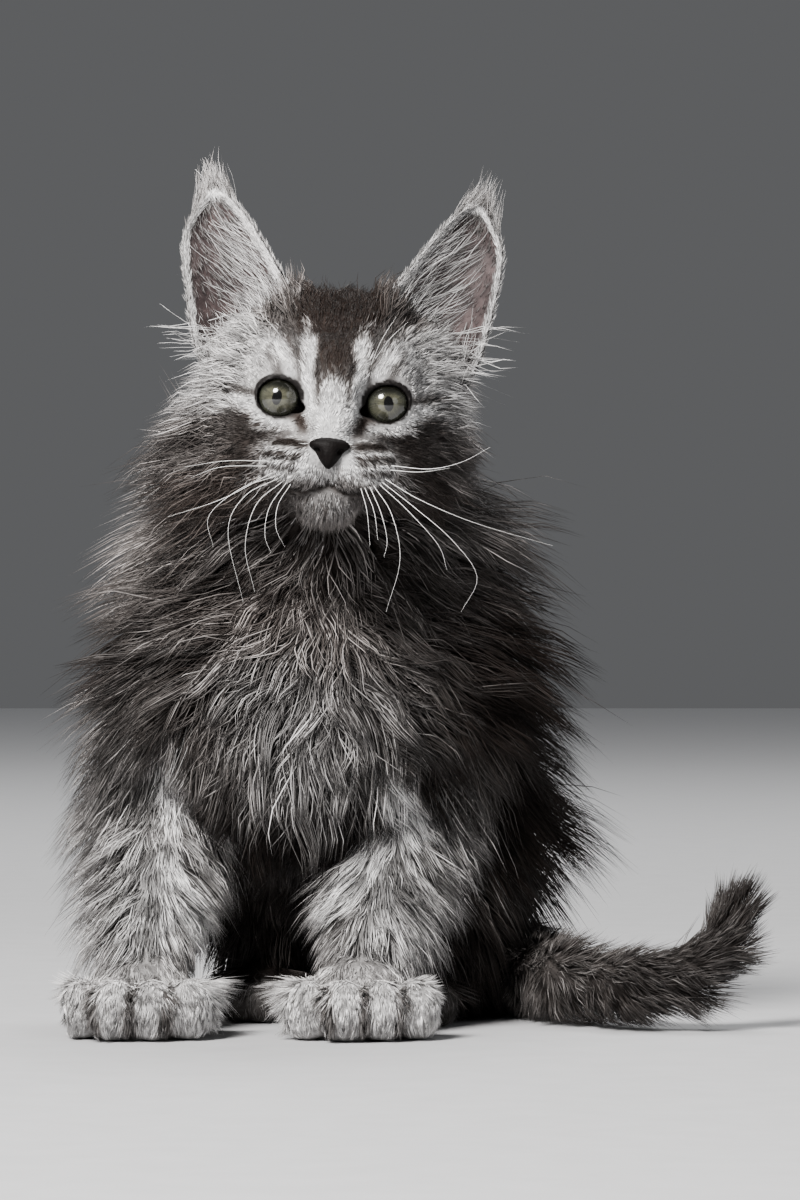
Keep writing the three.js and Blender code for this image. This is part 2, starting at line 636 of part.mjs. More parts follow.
// Forelegs: upper arm, elbow and forearm. Feathers hang from the back and the outer side.
function foreleg(side, joints) {
  const [shoulder, elbow, wrist] = joints;
  const bones = [roundCone(shoulder, elbow, 16, 13), roundCone(elbow, wrist, 13, 9.5)];
  const field = blend(bones, 8, FORELEG_UNDERCOAT);
  const feathers = {
    flow: () => vec(side * 0.2, 0.2, -1), length: 30, width: 15,
    lift: (root, out, degrees) => 20 + 26 * sideways(degrees),
  };
  const upper = { from: shoulder, to: elbow, rings: 2, count: 3, arc: [side * 30, side * 150] };
  const lower = { from: elbow, to: wrist, rings: 3, count: 4, keep: (root) => root.z > 30 };
  const hair = () => [upper, lower].flatMap((rings) => ringsOfLocks(field, { ...rings, ...feathers }));
  const core = coreOf(field, ...boxRound(joints, 34), 7.5, 1.6);
  addPart('foreleg' + sideName(side), SILVER, body, core, field, hair);
}
foreleg(-1, [[-42, 2, 98], [-48, 12, 70], [-53, -22, 25]]);
foreleg(1, [[32, 4, 100], [25, 12, 72], [14, -22, 26]]);

// Paws: the broad block of the foot, four toes and, on a forepaw, the dewclaw on its inner side. A toe
// is given as its x and y in the paw, then its half width and half length.
const TOES = [[-16.5, -8, 6.4, 10], [-5.6, -13, 6.6, 11], [5.6, -13, 6.6, 11], [16.5, -8, 6.4, 10]];
const TOE_MIDDLE = 8.5;
const TOE_HIGH = 9.5;
function paw(name, centre, turn, dewclaw, scale) {
  const place = (x, y, z) =>
    vec(x, y, z).multiplyScalar(scale).applyAxisAngle(UP, radians(turn)).add(at(centre)).toArray();
  const blob = (x, y, z, radii) => ellipsoid(place(x, y, z), radii.map((r) => r * scale), [0, 0, turn]);
  const field = blend([
    blob(0, 9, 13, [16.5, 17, 12]),
    ...TOES.map(([x, y, wide, long]) => blob(x, y, TOE_MIDDLE, [wide, long, TOE_HIGH])),
    ...(dewclaw ? [blob(dewclaw * 21, 6, 15, [4.2, 7, 5])] : []),
  ], 2.4 * scale, PAW_COAT);
  const box = boxRound([centre], 34 * scale);
  addPart(name, PALE, body, coreOf(field, ...box, 1.5 + 3.4 * scale, 1.1 * scale), field);
}
const PAW_TURN = 4; // degrees, each forepaw a little outwards
const HINDPAW_TURN = -18;
const HINDPAW_SCALE = 0.72;
paw('forepaw_right', RIGHT_PAW_AT, -PAW_TURN, 1, 1);
paw('forepaw_left', LEFT_PAW_AT, PAW_TURN, -1, 1);

// Hind legs: folded thigh and shank, with the long foot flat on the floor.
const rumpFoot = vec(RUMP_AT[0], RUMP_AT[1], 0);
const fromRump = (forward, left, z) =>
  vec(left, -forward, z).applyAxisAngle(UP, radians(-BODY_YAW)).add(rumpFoot).toArray();
for (const side of [-1, 1]) {
  const heel = fromRump(4, side * 31, 9);
  const sole = fromRump(46, side * 25, 9);
  const knee = fromRump(34, side * 27, 34);
  const thigh = fromRump(14, side * 27, 42);
  const field = blend([
    ellipsoid(thigh, [16, 34, 32], [0, 0, -BODY_YAW]),
    roundCone(knee, heel, 13, 9),
    roundCone(heel, sole, 8.5, 8.5),
  ], 8, HINDLEG_UNDERCOAT);
  const hair = () => ringsOfLocks(field, {
    from: fromRump(16, side * 27, 62), to: fromRump(12, side * 27, 20), rings: 3, count: 4,
    arc: side > 0 ? [20, 170] : [-170, -20], flow: () => vec(0.1 * side, 0.25, -1), length: 28, width: 17,
    keep: (root) => root.z > 18,
  });
  const core = coreOf(field, ...boxRound([thigh], 64), 8.5, 1.7);
  addPart('hindleg' + sideName(side), SMOKE, body, core, field, hair);
  paw('hindpaw' + sideName(side), fromRump(48, side * 25, 0), HINDPAW_TURN, 0, HINDPAW_SCALE);
}

// Tail: laid on the floor round the left haunch, with the tip curled up.
const TAIL_WAY = [
  [40, 98, 24], [62, 90, 17], [70, 62, 15], [68, 34, 15], [76, 8, 15], [94, -10, 15], [111, -14, 17],
  [122, -12, 25], [127, -9, 36],
];
const TAIL_RADIUS = [9, 8, 7.5, 7.2, 7, 6.6, 6, 5.2, 4];
function tail(name, first, last, count, length) {
  const span = TAIL_WAY.slice(first, last + 1);
  const cones = span.slice(1).map((to, i) =>
    roundCone(span[i], to, TAIL_RADIUS[first + i], TAIL_RADIUS[first + i + 1]));
  const field = blend(cones, 4, TAIL_UNDERCOAT);
  const hair = () => span.slice(1).flatMap((to, i) => ringsOfLocks(field, {
    from: span[i], to, rings: 1, count, flow: () => at(to).sub(at(span[i])), length, width: 14,
    thick: 2.2, lift: 26, sink: 3, keep: (root) => root.z > 7,
  }));
  addPart(name, SMOKE, body, coreOf(field, ...boxRound(span, 24), 7, 1.2), field, hair);
}
tail('tail_root', 0, 3, 3, 27);
tail('tail_middle', 3, 6, 3, 27);
tail('tail_tip', 6, 8, 4, 15);

// Each part is cut flat at the floor and cut clear of the parts before it. Locks are cut clear of every
// other core, and of the locks of the parts before them. A lock isn't drawn where its root is buried
// in another part.
const SLIVER = 0.03; // edges shorter than this are closed up after the cuts
const ROOM = 1; // above a lock's root
const floor = solidOf(new THREE.BoxGeometry(600, 600, 60).translate(0, 0, -30));
const meets = (a, b) => [0, 1, 2].every((i) => a.min[i] <= b.max[i] && b.min[i] <= a.max[i]);
const cutBy = (solid, tools) => tools.reduce((left, { tool, box }) =>
  (meets(left.boundingBox(), box) ? left.subtract(tool) : left), solid);
const toolOf = (tool) => ({ tool, box: tool.boundingBox() });
const cores = parts.map(({ core }) => toolOf(core(GAP)));
const locksBefore = [];
parts.forEach(({ name, colour, group, core, hair }, k) => {
  const others = parts.filter((part, m) => m !== k);
  const clear = ({ root, out }) => {
    const above = root.clone().addScaledVector(out, ROOM);
    return others.every(({ field }) => field(above) > 0);
  };
  const drawn = hair().filter(clear);
  let solid = cutBy(core(0).subtract(floor), cores.slice(0, k));
  if (drawn.length) {
    const locks = join(drawn.map((measures) => lock(measures, 0))).subtract(floor);
    solid = solid.add(cutBy(locks, [...cores.filter((tool, m) => m !== k), ...locksBefore]));
    locksBefore.push(toolOf(join(drawn.map((measures) => lock(measures, LOCK_GAP)))));
  }
  const intoGroup = group.matrixWorld.clone().invert();
  const geometry = geometryOf(largest(solid.simplify(SLIVER))).applyMatrix4(intoGroup);
  geometry.computeBoundingBox();
  const centre = geometry.boundingBox.getCenter(vec(0, 0, 0));
  const mesh = new THREE.Mesh(
    geometry.translate(-centre.x, -centre.y, -centre.z),
    new THREE.MeshStandardMaterial({ color: colour, roughness: 0.85, metalness: 0 }),
  );
  mesh.name = name;
  mesh.position.copy(centre);
  group.add(mesh);
});

// The part's frame has its origin on the floor under the middle of the box round the whole.
const whole = new THREE.Box3().setFromObject(body, true);
const middleOfAll = whole.getCenter(vec(0, 0, 0));
body.position.set(-middleOfAll.x, -middleOfAll.y, 0);
const kitten = new THREE.Group();
kitten.add(body);

export default kitten;
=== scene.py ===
# A young long-haired cat with tufted ears, sitting and facing the camera: a still, life-size model.
# Sizes of the animal are in millimetres in the sculptor's own frame, whose origin is on the floor under
# the chest. metres() turns them into the shared frame. The names right and left are the cat's own.
import math

import bpy
import numpy as np
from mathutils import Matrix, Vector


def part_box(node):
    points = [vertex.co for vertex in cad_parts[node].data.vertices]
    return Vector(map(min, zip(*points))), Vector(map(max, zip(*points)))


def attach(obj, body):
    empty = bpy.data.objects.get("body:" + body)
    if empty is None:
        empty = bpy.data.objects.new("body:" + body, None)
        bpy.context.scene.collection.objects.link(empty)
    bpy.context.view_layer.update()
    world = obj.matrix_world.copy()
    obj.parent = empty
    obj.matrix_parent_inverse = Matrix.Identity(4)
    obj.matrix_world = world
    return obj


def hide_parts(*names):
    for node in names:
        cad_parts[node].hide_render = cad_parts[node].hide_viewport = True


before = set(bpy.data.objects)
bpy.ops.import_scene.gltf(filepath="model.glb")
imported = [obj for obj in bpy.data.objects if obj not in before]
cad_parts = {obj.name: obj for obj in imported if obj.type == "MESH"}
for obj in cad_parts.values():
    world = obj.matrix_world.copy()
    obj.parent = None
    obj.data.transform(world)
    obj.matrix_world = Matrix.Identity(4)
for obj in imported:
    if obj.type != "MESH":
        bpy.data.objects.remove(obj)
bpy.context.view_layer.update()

import openvdb

# Skin. The cat under its coat, soft thin skin over flesh and bone: head, neck, chest, forelegs, folded
# hind legs, feet and tail in one piece, grown together where they meet. The eye openings, the lids,
# the line of the mouth and the groove under the nose are cut into it.
HEAD_AT = np.array([4.0, -28.0, 192.0])
HEAD_ROLL = math.radians(3.3)  # the head leans to the cat's right
EYE_AT = np.array([15.4, -22.5, -0.5])  # the left eye, in the head
EYE_RADIUS = 8.5
NOSE_AT = np.array([0.0, -46.5, -16.4])
RUMP_AT = np.array([20.0, 64.0, 44.0])
BODY_YAW = math.radians(20)

head_turn = np.array([
    [math.cos(HEAD_ROLL), 0, math.sin(HEAD_ROLL)],
    [0, 1, 0],
    [-math.sin(HEAD_ROLL), 0, math.cos(HEAD_ROLL)],
])


def from_head(q):
    return np.asarray(q, float) @ head_turn.T + HEAD_AT


def into_head(p):
    return (np.asarray(p, float) - HEAD_AT) @ head_turn


def grid_into_head(p):
    """The same for the many points of a grid, in single precision."""
    return ((p - HEAD_AT.astype(np.float32)) @ head_turn.astype(np.float32)).astype(np.float32)


eye_low, eye_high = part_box("eye_right")
eye_middle = np.array((eye_low + eye_high) / 2) * 1000
SHIFT = eye_middle - from_head(EYE_AT * [-1, 1, 1])
SHIFT[2] = 0.0


def metres(p):
    return (np.asarray(p, float) + SHIFT) / 1000


def ellipsoid(p, centre, radii, turn=0.0):
    q = p - np.asarray(centre, np.float32)
    if turn:
        c, s = math.cos(turn), math.sin(turn)
        q = np.stack([q[..., 0] * c + q[..., 1] * s, q[..., 1] * c - q[..., 0] * s, q[..., 2]], -1)
    a = q / np.asarray(radii, np.float32)
    b = a / np.asarray(radii, np.float32)
    k0 = np.sqrt((a * a).sum(-1))
    return k0 * (k0 - 1) / np.maximum(np.sqrt((b * b).sum(-1)), 1e-6)


def round_cone(p, start, end, r0, r1):
    a = np.asarray(start, np.float32)
    axis = np.asarray(end, np.float32) - a
    q = p - a
    t = np.clip(q @ axis / (axis @ axis), 0, 1)
    return np.linalg.norm(q - t[..., None] * axis, axis=-1) - (r0 + (r1 - r0) * t)


def soft_min(a, b, k):
    h = np.maximum(k - np.abs(a - b), 0) / k
    return np.minimum(a, b) - h * h * k / 4


def blend(values, k):
    total = values[0]
    for value in values[1:]:
        total = soft_min(total, value, k)
    return total


def both(make):
    return [make(-1), make(1)]


MOUTH = [(15.5, -33, -24.8), (12, -40, -27), (7, -45, -28.2), (3, -46.8, -26.8), (0, -47, -24.8)]
LIP_LINE = 0.75  # radius of the furrow between the lips
LID = 1.15  # thickness of the lids
LID_BACK, OPENING_BACK = 2.2, 1.5  # how far in front of the eye's middle the lids and the opening end
OPENING = (6.5, 5.6)  # half width and half height of an eye opening
CORNER_AT, CORNER = (-5.2, -1.6), (3.4, 1.7)  # its inner corner: place in the eye, half width and height
EYE_SLANT = math.radians(9)
EYE_SPLAY = math.radians(8)


def eye_frame(side):
    """The eye's own axes in the head, as columns: outwards along the slant, up, and the way it looks."""
    look = np.array([side * math.sin(EYE_SPLAY), -math.cos(EYE_SPLAY), 0.0])
    along = np.array([side * math.cos(EYE_SPLAY), math.sin(EYE_SPLAY), 0.0])
    up = np.array([0.0, 0.0, 1.0])
    c, s = math.cos(EYE_SLANT), math.sin(EYE_SLANT)
    return np.stack([along * c + up * s, up * c - along * s, look], 1)


def in_eye(q, side):
    return (q - (EYE_AT * [side, 1, 1]).astype(np.float32)) @ eye_frame(side).astype(np.float32)


def opening(q, side):
    """How far outside an eye opening a point is, seen along the way the eye looks, in shares of it."""
    e = in_eye(q, side)
    round_part = np.hypot(e[..., 0] / OPENING[0], e[..., 1] / OPENING[1])
    corner = np.hypot((e[..., 0] - CORNER_AT[0]) / CORNER[0], (e[..., 1] - CORNER_AT[1]) / CORNER[1])
    return soft_min(round_part, corner, 0.35), e


def head_field(p):
    q = grid_into_head(p)
    flesh = blend([
        ellipsoid(q, (0, 6, 6), (31, 33, 25.5)),
        ellipsoid(q, (0, -14, -4), (25, 22, 21)),
        ellipsoid(q, (0, -10, -21), (20, 23, 13)),
        round_cone(q, (0, -27, 9), (0, -41, -13.5), 8, 5.2),
        *both(lambda s: ellipsoid(q, (s * 18, -6, -9), (16, 21, 19))),
        *both(lambda s: ellipsoid(q, (s * 13, -19, 10), (10, 10, 8))),
    ], 7)
    muzzle = blend([
        *both(lambda s: ellipsoid(q, (s * 9, -36, -20.6), (11.6, 11.5, 8.6))),
        ellipsoid(q, (0, -33, -30.6), (9.8, 9.4, 6.2)),
    ], 2.4)
    whole = soft_min(flesh, muzzle, 4)
    for side in (-1, 1):
        socket = ellipsoid(q, (side * 16, -34, -0.5), (9, 8, 7.6))
        whole = -soft_min(-whole, socket, 4)
    for side in (-1, 1):
        share, e = opening(q, side)
        lid = np.linalg.norm(e, axis=-1) - (EYE_RADIUS + LID)
        lid = np.maximum(lid, LID_BACK - e[..., 2])
        whole = soft_min(whole, lid, 2.5)
        hole = np.maximum((1 - share) * -OPENING[1], OPENING_BACK - e[..., 2])
        whole = np.maximum(whole, -hole)
    for i in range(len(MOUTH) - 1):
        for side in (-1, 1):
            a, b = (np.array(m) * [side, 1, 1] for m in MOUTH[i:i + 2])
            whole = -soft_min(-whole, round_cone(q, a, b, LIP_LINE, LIP_LINE), 1.2)
    groove = round_cone(q, (0, -48.2, -20), (0, -47.4, -24.8), 0.5, 0.5)
    return -soft_min(-whole, groove, 1.0)


def from_rump(forward, left, z):
    """A place given from the middle of the rump, along and across the turned body."""
    c, s = math.cos(-BODY_YAW), math.sin(-BODY_YAW)
    return (left * c + forward * s + RUMP_AT[0], left * s - forward * c + RUMP_AT[1], z)


def neck_field(p):
    return blend([
        round_cone(p, (3, -8, 176), (1, 10, 134), 20, 30),
        ellipsoid(p, (3, 4, 150), (30, 24, 16)),
    ], 8)


def torso_field(p):
    return blend([
        ellipsoid(p, (-3, 6, 104), (33, 35, 44)),
        ellipsoid(p, (-31, 2, 106), (17, 22, 32)),
        ellipsoid(p, (26, 6, 108), (17, 22, 30)),
        ellipsoid(p, (2, 26, 128), (24, 22, 24)),
        ellipsoid(p, (8, 38, 76), (37, 40, 46)),
        ellipsoid(p, RUMP_AT, (37, 38, 42)),
    ], 14)


ARM = {  # shoulder, elbow and wrist on either side
    -1: [(-42, 2, 98), (-48, 12, 70), (-53, -22, 25)],
    1: [(32, 4, 100), (25, 12, 72), (14, -22, 26)],
}


def foreleg_field(p, side):
    shoulder, elbow, wrist = ARM[side]
    return soft_min(round_cone(p, shoulder, elbow, 16, 13), round_cone(p, elbow, wrist, 13, 10), 8)


# Each toe in its paw: place across and along, half width, half length.
TOES = [
    (-16.4, -7.0, 6.4, 9.6), (-5.9, -13.2, 7.3, 12.0), (5.5, -12.4, 6.8, 11.2), (16.2, -8.4, 6.9, 10.2),
]
TOE_GAPS = (-11, 0, 11)  # where the toes part, across the paw


def paw_field(p, centre, turn, dewclaw, scale):
    c, s = math.cos(turn), math.sin(turn)

    def blob(x, y, z, radii):
        place = (centre[0] + scale * (x * c - y * s), centre[1] + scale * (x * s + y * c), scale * z)
        return ellipsoid(p, place, [r * scale for r in radii], turn)

    blobs = [blob(0, 10, 12, (15, 17, 10.5))] + [blob(x, y, 8.5, (w, d, 9.3)) for x, y, w, d in TOES]
    if dewclaw:
        blobs.append(blob(dewclaw * 17, 8, 12, (4, 7, 5)))
    return blend(blobs, 4.4 * scale)


# Each paw: middle, turn, side of the dewclaw or 0, size against a forepaw's.
PAWS = {
    "forepaw_right": ((-55, -38, 0), math.radians(-4), 1, 1.0),
    "forepaw_left": ((12, -40, 0), math.radians(4), -1, 1.0),
    "hindpaw_right": (from_rump(48, -25, 0), math.radians(-18), 0, 0.72),
    "hindpaw_left": (from_rump(48, 25, 0), math.radians(-18), 0, 0.72),
}


def hindleg_field(p, side):
    heel, sole = from_rump(4, side * 31, 9), from_rump(46, side * 25, 9)
    return blend([
        ellipsoid(p, from_rump(14, side * 27, 42), (16, 34, 32), -BODY_YAW),
        round_cone(p, from_rump(34, side * 27, 34), heel, 13, 9),
        round_cone(p, heel, sole, 8.5, 8.5),
    ], 8)


# The tail's middle, from its root round the cat's left side to the curled-up tip, and its radius there.
TAIL_WAY = np.array([
    (40, 98, 24), (62, 90, 17), (70, 62, 15), (68, 34, 15), (76, 8, 15), (94, -10, 15), (111, -14, 17),
    (122, -12, 25), (127, -9, 36),
], float)
TAIL_RADIUS = [9, 8, 7.5, 7.2, 7, 6.6, 6, 5.2, 4]


def tail_field(p):
    return blend([
        round_cone(p, TAIL_WAY[i], TAIL_WAY[i + 1], TAIL_RADIUS[i], TAIL_RADIUS[i + 1])
        for i in range(len(TAIL_WAY) - 1)
    ], 4)


# Each limb with the box that it can reach into, so that points far from it aren't measured.
LIMBS = {
    "head": (head_field, (-40, -84, 146), (48, 20, 234)),
    "neck": (neck_field, (-50, -50, 95), (56, 60, 205)),
    "torso": (torso_field, (-70, -50, -10), (80, 120, 165)),
    "foreleg_right": (lambda p: foreleg_field(p, -1), (-75, -45, 5), (-18, 35, 122)),
    "foreleg_left": (lambda p: foreleg_field(p, 1), (-6, -45, 5), (56, 35, 124)),
    "hindleg_right": (lambda p: hindleg_field(p, -1), (-70, -40, -5), (60, 130, 90)),
    "hindleg_left": (lambda p: hindleg_field(p, 1), (-10, -10, -5), (95, 130, 90)),
    "tail": (tail_field, (25, -30, -2), (140, 115, 48)),
    **{name: (lambda p, how=how: paw_field(p, *how),
              (how[0][0] - 36 * how[3], how[0][1] - 36 * how[3], -6),
              (how[0][0] + 36 * how[3], how[0][1] + 36 * how[3], 36))
       for name, how in PAWS.items()},
}
LIMB_NAMES = list(LIMBS)
FAR = 40.0  # longer distances aren't told apart
FLOOR = 0.35  # the soles lie this high, on the flattened fur


def limb_distances(p, names=LIMB_NAMES):
    """The distance from each point to the surface of each limb, FAR where it is out of reach."""
    p = np.asarray(p, np.float32)
    found = {}
    for name in names:
        measure, low, high = LIMBS[name]
        near = np.all((p > np.array(low) - 6) & (p < np.array(high) + 6), axis=-1)
        d = np.full(p.shape[:-1], FAR, np.float32)
        if near.any():
            d[near] = np.minimum(measure(p[near]), FAR)
        found[name] = d
    return found


def skin_field(p):
    found = limb_distances(p)
    whole = blend(list(found.values()), 5)
    return np.maximum(whole, FLOOR - np.asarray(p, np.float32)[..., 2])


def slope(field, p, step=0.3):
    """The way out of a field's surface at each point."""
    grad = np.zeros(p.shape, np.float32)
    for axis in range(3):
        away = np.zeros(3, np.float32)
        away[axis] = step
        grad[:, axis] = field(p + away) - field(p - away)
    return grad / np.maximum(np.linalg.norm(grad, axis=1, keepdims=True), 1e-6)


SLAB = 16  # slices of the grid that are measured at once


def surface(field, low, high, cell):
    """The surface of a field inside a box, as points and quads."""
    low, high = np.array(low, float), np.array(high, float)
    n = np.ceil((high - low) / cell).astype(int) + 1
    axes = [low[i] + cell * np.arange(n[i]) for i in range(3)]
    values = np.empty(n, np.float32)
    for i in range(0, n[0], SLAB):
        part = np.stack(np.meshgrid(axes[0][i:i + SLAB], axes[1], axes[2], indexing="ij"), -1)
        values[i:i + SLAB] = field(part.astype(np.float32))
    grid = openvdb.FloatGrid(FAR)
    grid.copyFromArray(np.clip(values, -FAR, FAR))
    points, quads = grid.convertToQuads(0.0)
    points = points.astype(float) * cell + low
    a, b, c, d = (points[quads[:, i]] for i in range(4))
    volume = (np.cross(b - a, c - a) * a).sum() + (np.cross(c - a, d - a) * a).sum()
    if volume < 0:
        quads = quads[:, ::-1]
    return points, quads


HEAD_CUT = 164.0  # the finer head meets the body here, under the ruff
CUT_SLOPE = 0.55
CUT_LAP = 1.5
HEAD_CELL, BODY_CELL = 0.8, 1.7  # sizes of the skin's quads


def behind_ruff(p):
    """Height above a slanted cut from the throat to the nape."""
    return p[..., 2] - HEAD_CUT + CUT_SLOPE * (p[..., 1] + 20)


def head_shell(p):
    found = limb_distances(p, ("head", "neck"))
    return np.maximum(soft_min(found["head"], found["neck"], 5), -CUT_LAP - behind_ruff(p))


def body_shell(p):
    return np.maximum(skin_field(p), behind_ruff(p) - CUT_LAP)


def into_scene(name, data):
    thing = bpy.data.objects.new(name, data)
    bpy.context.scene.collection.objects.link(thing)
    return thing


def mesh_object(name, points, faces):
    """A mesh object in the shared frame. The faces are rows of three or four corners."""
    mesh = bpy.data.meshes.new(name)
    faces = np.asarray(faces, np.int32)
    corners = faces.shape[1]
    mesh.vertices.add(len(points))
    mesh.vertices.foreach_set("co", metres(points).astype(np.float32).ravel())
    mesh.loops.add(faces.size)
    mesh.loops.foreach_set("vertex_index", faces.ravel())
    mesh.polygons.add(len(faces))
    mesh.polygons.foreach_set("loop_start", np.arange(0, faces.size, corners, dtype=np.int32))
    mesh.polygons.foreach_set("use_smooth", np.ones(len(faces), bool))
    mesh.update(calc_edges=True)
    mesh.validate()
    return into_scene(name, mesh)


def store(piece, name, kind, values):
    """Keeps one value per vertex on the mesh, for the material to read."""
    layer = piece.data.attributes.new(name, kind, "POINT")
    field = "vector" if kind == "FLOAT_VECTOR" else "value"
    layer.data.foreach_set(field, np.asarray(values, np.float32).ravel())


head_points, head_quads = surface(head_shell, (-42, -86, 146), (50, 34, 236), HEAD_CELL)
body_points, body_quads = surface(body_shell, (-76, -78, -3), (142, 124, 204), BODY_CELL)
skin_points = np.concatenate([body_points, head_points])
skin_quads = np.concatenate([body_quads, head_quads + len(body_points)])

# Markings. The coat's pattern, worked out at the root of each hair and at each point of the skin, so
# that both carry the same: a smoky body, barred legs, pale feet, and a face with a dark cap, white
# brow spots, white rings under the eyes and rows of dark whisker spots. Painted shade is mixed in on
# the cat's left side, between the forelegs and between the toes, and a painted highlight on the chin.
rng = np.random.default_rng(20241)


def smooth_step(x, low, high):
    t = np.clip((x - low) / (high - low), 0, 1)
    return t * t * (3 - 2 * t)


WAVES = [(rng.normal(size=3), rng.uniform(0, 6.3), rng.uniform(0.6, 1.6)) for i in range(24)]


def drift(p, size, first=0, count=8):
    """A soft, seeded unevenness from -1 to 1, whose patches are about size across."""
    total = np.zeros(p.shape[0])
    for way, phase, pace in WAVES[first:first + count]:
        total += np.sin(p @ (way / np.linalg.norm(way)) * (2 * math.pi * pace / size / 2) + phase)
    return np.clip(total / math.sqrt(count), -1.6, 1.6) / 1.6


def from_line(x, z, line):
    """Distance from each point to a line that is drawn across and up."""
    best = np.full(x.shape, 1e9)
    for (x0, z0), (x1, z1) in zip(line[:-1], line[1:]):
        dx, dz = x1 - x0, z1 - z0
        t = np.clip(((x - x0) * dx + (z - z0) * dz) / (dx * dx + dz * dz), 0, 1)
        best = np.minimum(best, np.hypot(x - x0 - t * dx, z - z0 - t * dz))
    return best


# The face: line or spot (x outwards, z up), half width, how pale, how brown, strength.
FACE = [
    ([(31, 8), (40, 20)], 15, 0.97, 0.02, 0.98),
    ([(18, 14), (26, 5)], 9, 0.80, 0.08, 0.9),
    ([(0, 5), (0, -8)], 8, 0.74, 0.10, 0.9),
    ([(0, 38), (0, 25)], 13, 0.0, 0.95, 0.99),
    ([(4, 34), (10.5, 23)], 7.4, 0.03, 0.88, 0.95),
    ([(14, 30), (17, 22)], 3.4, 0.30, 0.55, 0.7),
    ([(0, 24), (0.4, 13)], 5.8, 0.0, 0.9, 0.97),
    ([(7.3, 14), (8.6, 21)], 0.9, 0.8, 0.1, 0.8),
    ([(15.0, 11), (17.6, 19)], 1.0, 0.8, 0.1, 0.8),
    ([(0.4, 13), (0.4, 7)], 2.6, 0.10, 0.8, 0.85),
    ([(16.5, 24), (11, 14)], 3.2, 0.26, 0.45, 0.85),
    ([(10.6, 15), (10.2, 6)], 1.6, 0.22, 0.30, 0.85),
    ([(18, 13), (16.5, 6)], 1.6, 0.30, 0.30, 0.8),
    ([(7.2, 15), (7.4, 7.5)], 2.0, 1.0, 0.0, 0.97),
    ([(15.4, 12), (12.8, 6.5)], 2.1, 0.98, 0.0, 0.97),
    ([(1.6, 7), (1.4, 0)], 1.0, 0.44, 0.30, 0.6),
    ([(2.9, 13), (2.5, 3)], 0.8, 0.14, 0.60, 0.8),
    ([(4.9, 10), (4.5, 4), (3.9, -3)], 0.9, 0.06, 0.5, 0.95),
    ([(7.8, 4.5), (7.3, 0), (6.2, -5.5)], 2.2, 1.0, 0.0, 1.0),
    ([(0.4, 2), (0.4, -11)], 3.0, 0.84, 0.0, 0.9),
    ([(0.4, -6), (0.4, -11)], 4.6, 1.0, 0.0, 0.95),
    ([(25, -1.5), (20, -7.4), (12, -9.2)], 2.5, 1.0, 0.0, 1.0),
    ([(40, -17), (30.5, -17), (25.5, -25)], 9.0, 0.16, 0.78, 0.97),
    ([(23, 0.6), (30, 1.6)], 1.0, 0.16, 0.4, 0.8),
    ([(13, -12.4), (21, -11.4), (28, -7)], 2.6, 0.12, 0.5, 0.95),
    ([(9.0, -7), (8.0, -10.6), (7.0, -13.6)], 1.4, 0.06, 0.9, 0.95),
    ([(7, -17.4), (13.2, -18.8)], 6.7, 1.0, 0.0, 0.99),
    ([(7.5, -14.4), (15, -13.6)], 1.2, 0.0, 0.5, 0.98),
    ([(9, -17.8), (17.5, -16.9)], 1.0, 0.0, 0.5, 0.98),
    ([(9.5, -21.0), (17.5, -20.4)], 0.8, 0.0, 0.4, 0.9),
    ([(0, -21), (0, -23.5)], 3.0, 0.9, 0.0, 0.9),
    ([(3, -25.4), (9, -26.8), (15, -25.2)], 1.2, 0.60, 0.3, 0.6),
    ([(0, -31), (8, -31)], 4.8, 0.42, 0.40, 0.9),
    ([(0, -36), (7, -36)], 4.8, 0.54, 0.50, 0.85),
    # The next spot is a painted highlight on the top of the chin.
    ([(0, -29), (4, -29.4)], 2.8, 0.54, 0.15, 0.85),
    ([(0, -24.8), (3, -26.8), (7, -28.0), (12, -26.8), (15.5, -24.8)], 0.8, 0.0, 0.6, 0.97),
]


def face_pattern(p):
    q = into_head(p)
    x, y, z = np.abs(q[:, 0]), q[:, 1], q[:, 2]
    pale = np.full(len(q), 0.20)
    brown = np.full(len(q), 0.65)
    wobble = drift(q, 9, 2) * 0.5 + drift(q, 3.5, 9) * 0.35
    front = smooth_step(y, 28, 10)
    for line, half, to_pale, to_brown, strength in FACE:
        soft = min(half * 0.45, 3.0) + 0.35
        d = from_line(x + 0.25 * wobble * min(half, 2), z, line) + wobble * min(half * 0.2, 1.2)
        w = strength * smooth_step(d, half + soft, half - soft) * front
        pale += (to_pale - pale) * w
        brown += (to_brown - brown) * w
    outer = smooth_step(x + 0.7 * np.clip(10 - z, 0, 22) + 3 * wobble, 35, 48) * (z > -20)
    outer = np.maximum(outer, smooth_step(y + 3 * wobble, -8, 8) * smooth_step(z, 20, 8) * (z > -20))
    pale += (0.30 - pale) * 0.85 * outer
    brown += (0.45 - brown) * 0.85 * outer
    throat = smooth_step(z, -37, -44)
    pale += (0.20 - pale) * throat
    brown += (0.5 - brown) * throat
    # Painted shade: the face's left side, from about the eyes up, is darkened, on the side away from the
    # key lamp.
    painted_shade = smooth_step(q[:, 0], 14, 34) * smooth_step(z, -10, 0)
    return pale * (1 - 0.14 * painted_shade), brown


# Light bands on the forelegs and wisps on the right cheek: line across and up, half width, how pale.
BANDS = [
    ([(-48.5, 75), (-45, 65)], 5.6, 0.80),
    ([(-46, 50), (-34, 26)], 4.2, 0.80),
    ([(-46, 35), (-48, 28)], 3.6, 0.74),
    ([(22, 73), (27, 62)], 6.0, 0.88),
    ([(16, 53), (3, 38)], 5.0, 0.95),
    ([(-52, 184), (-46, 170)], 4.0, 0.70),
]


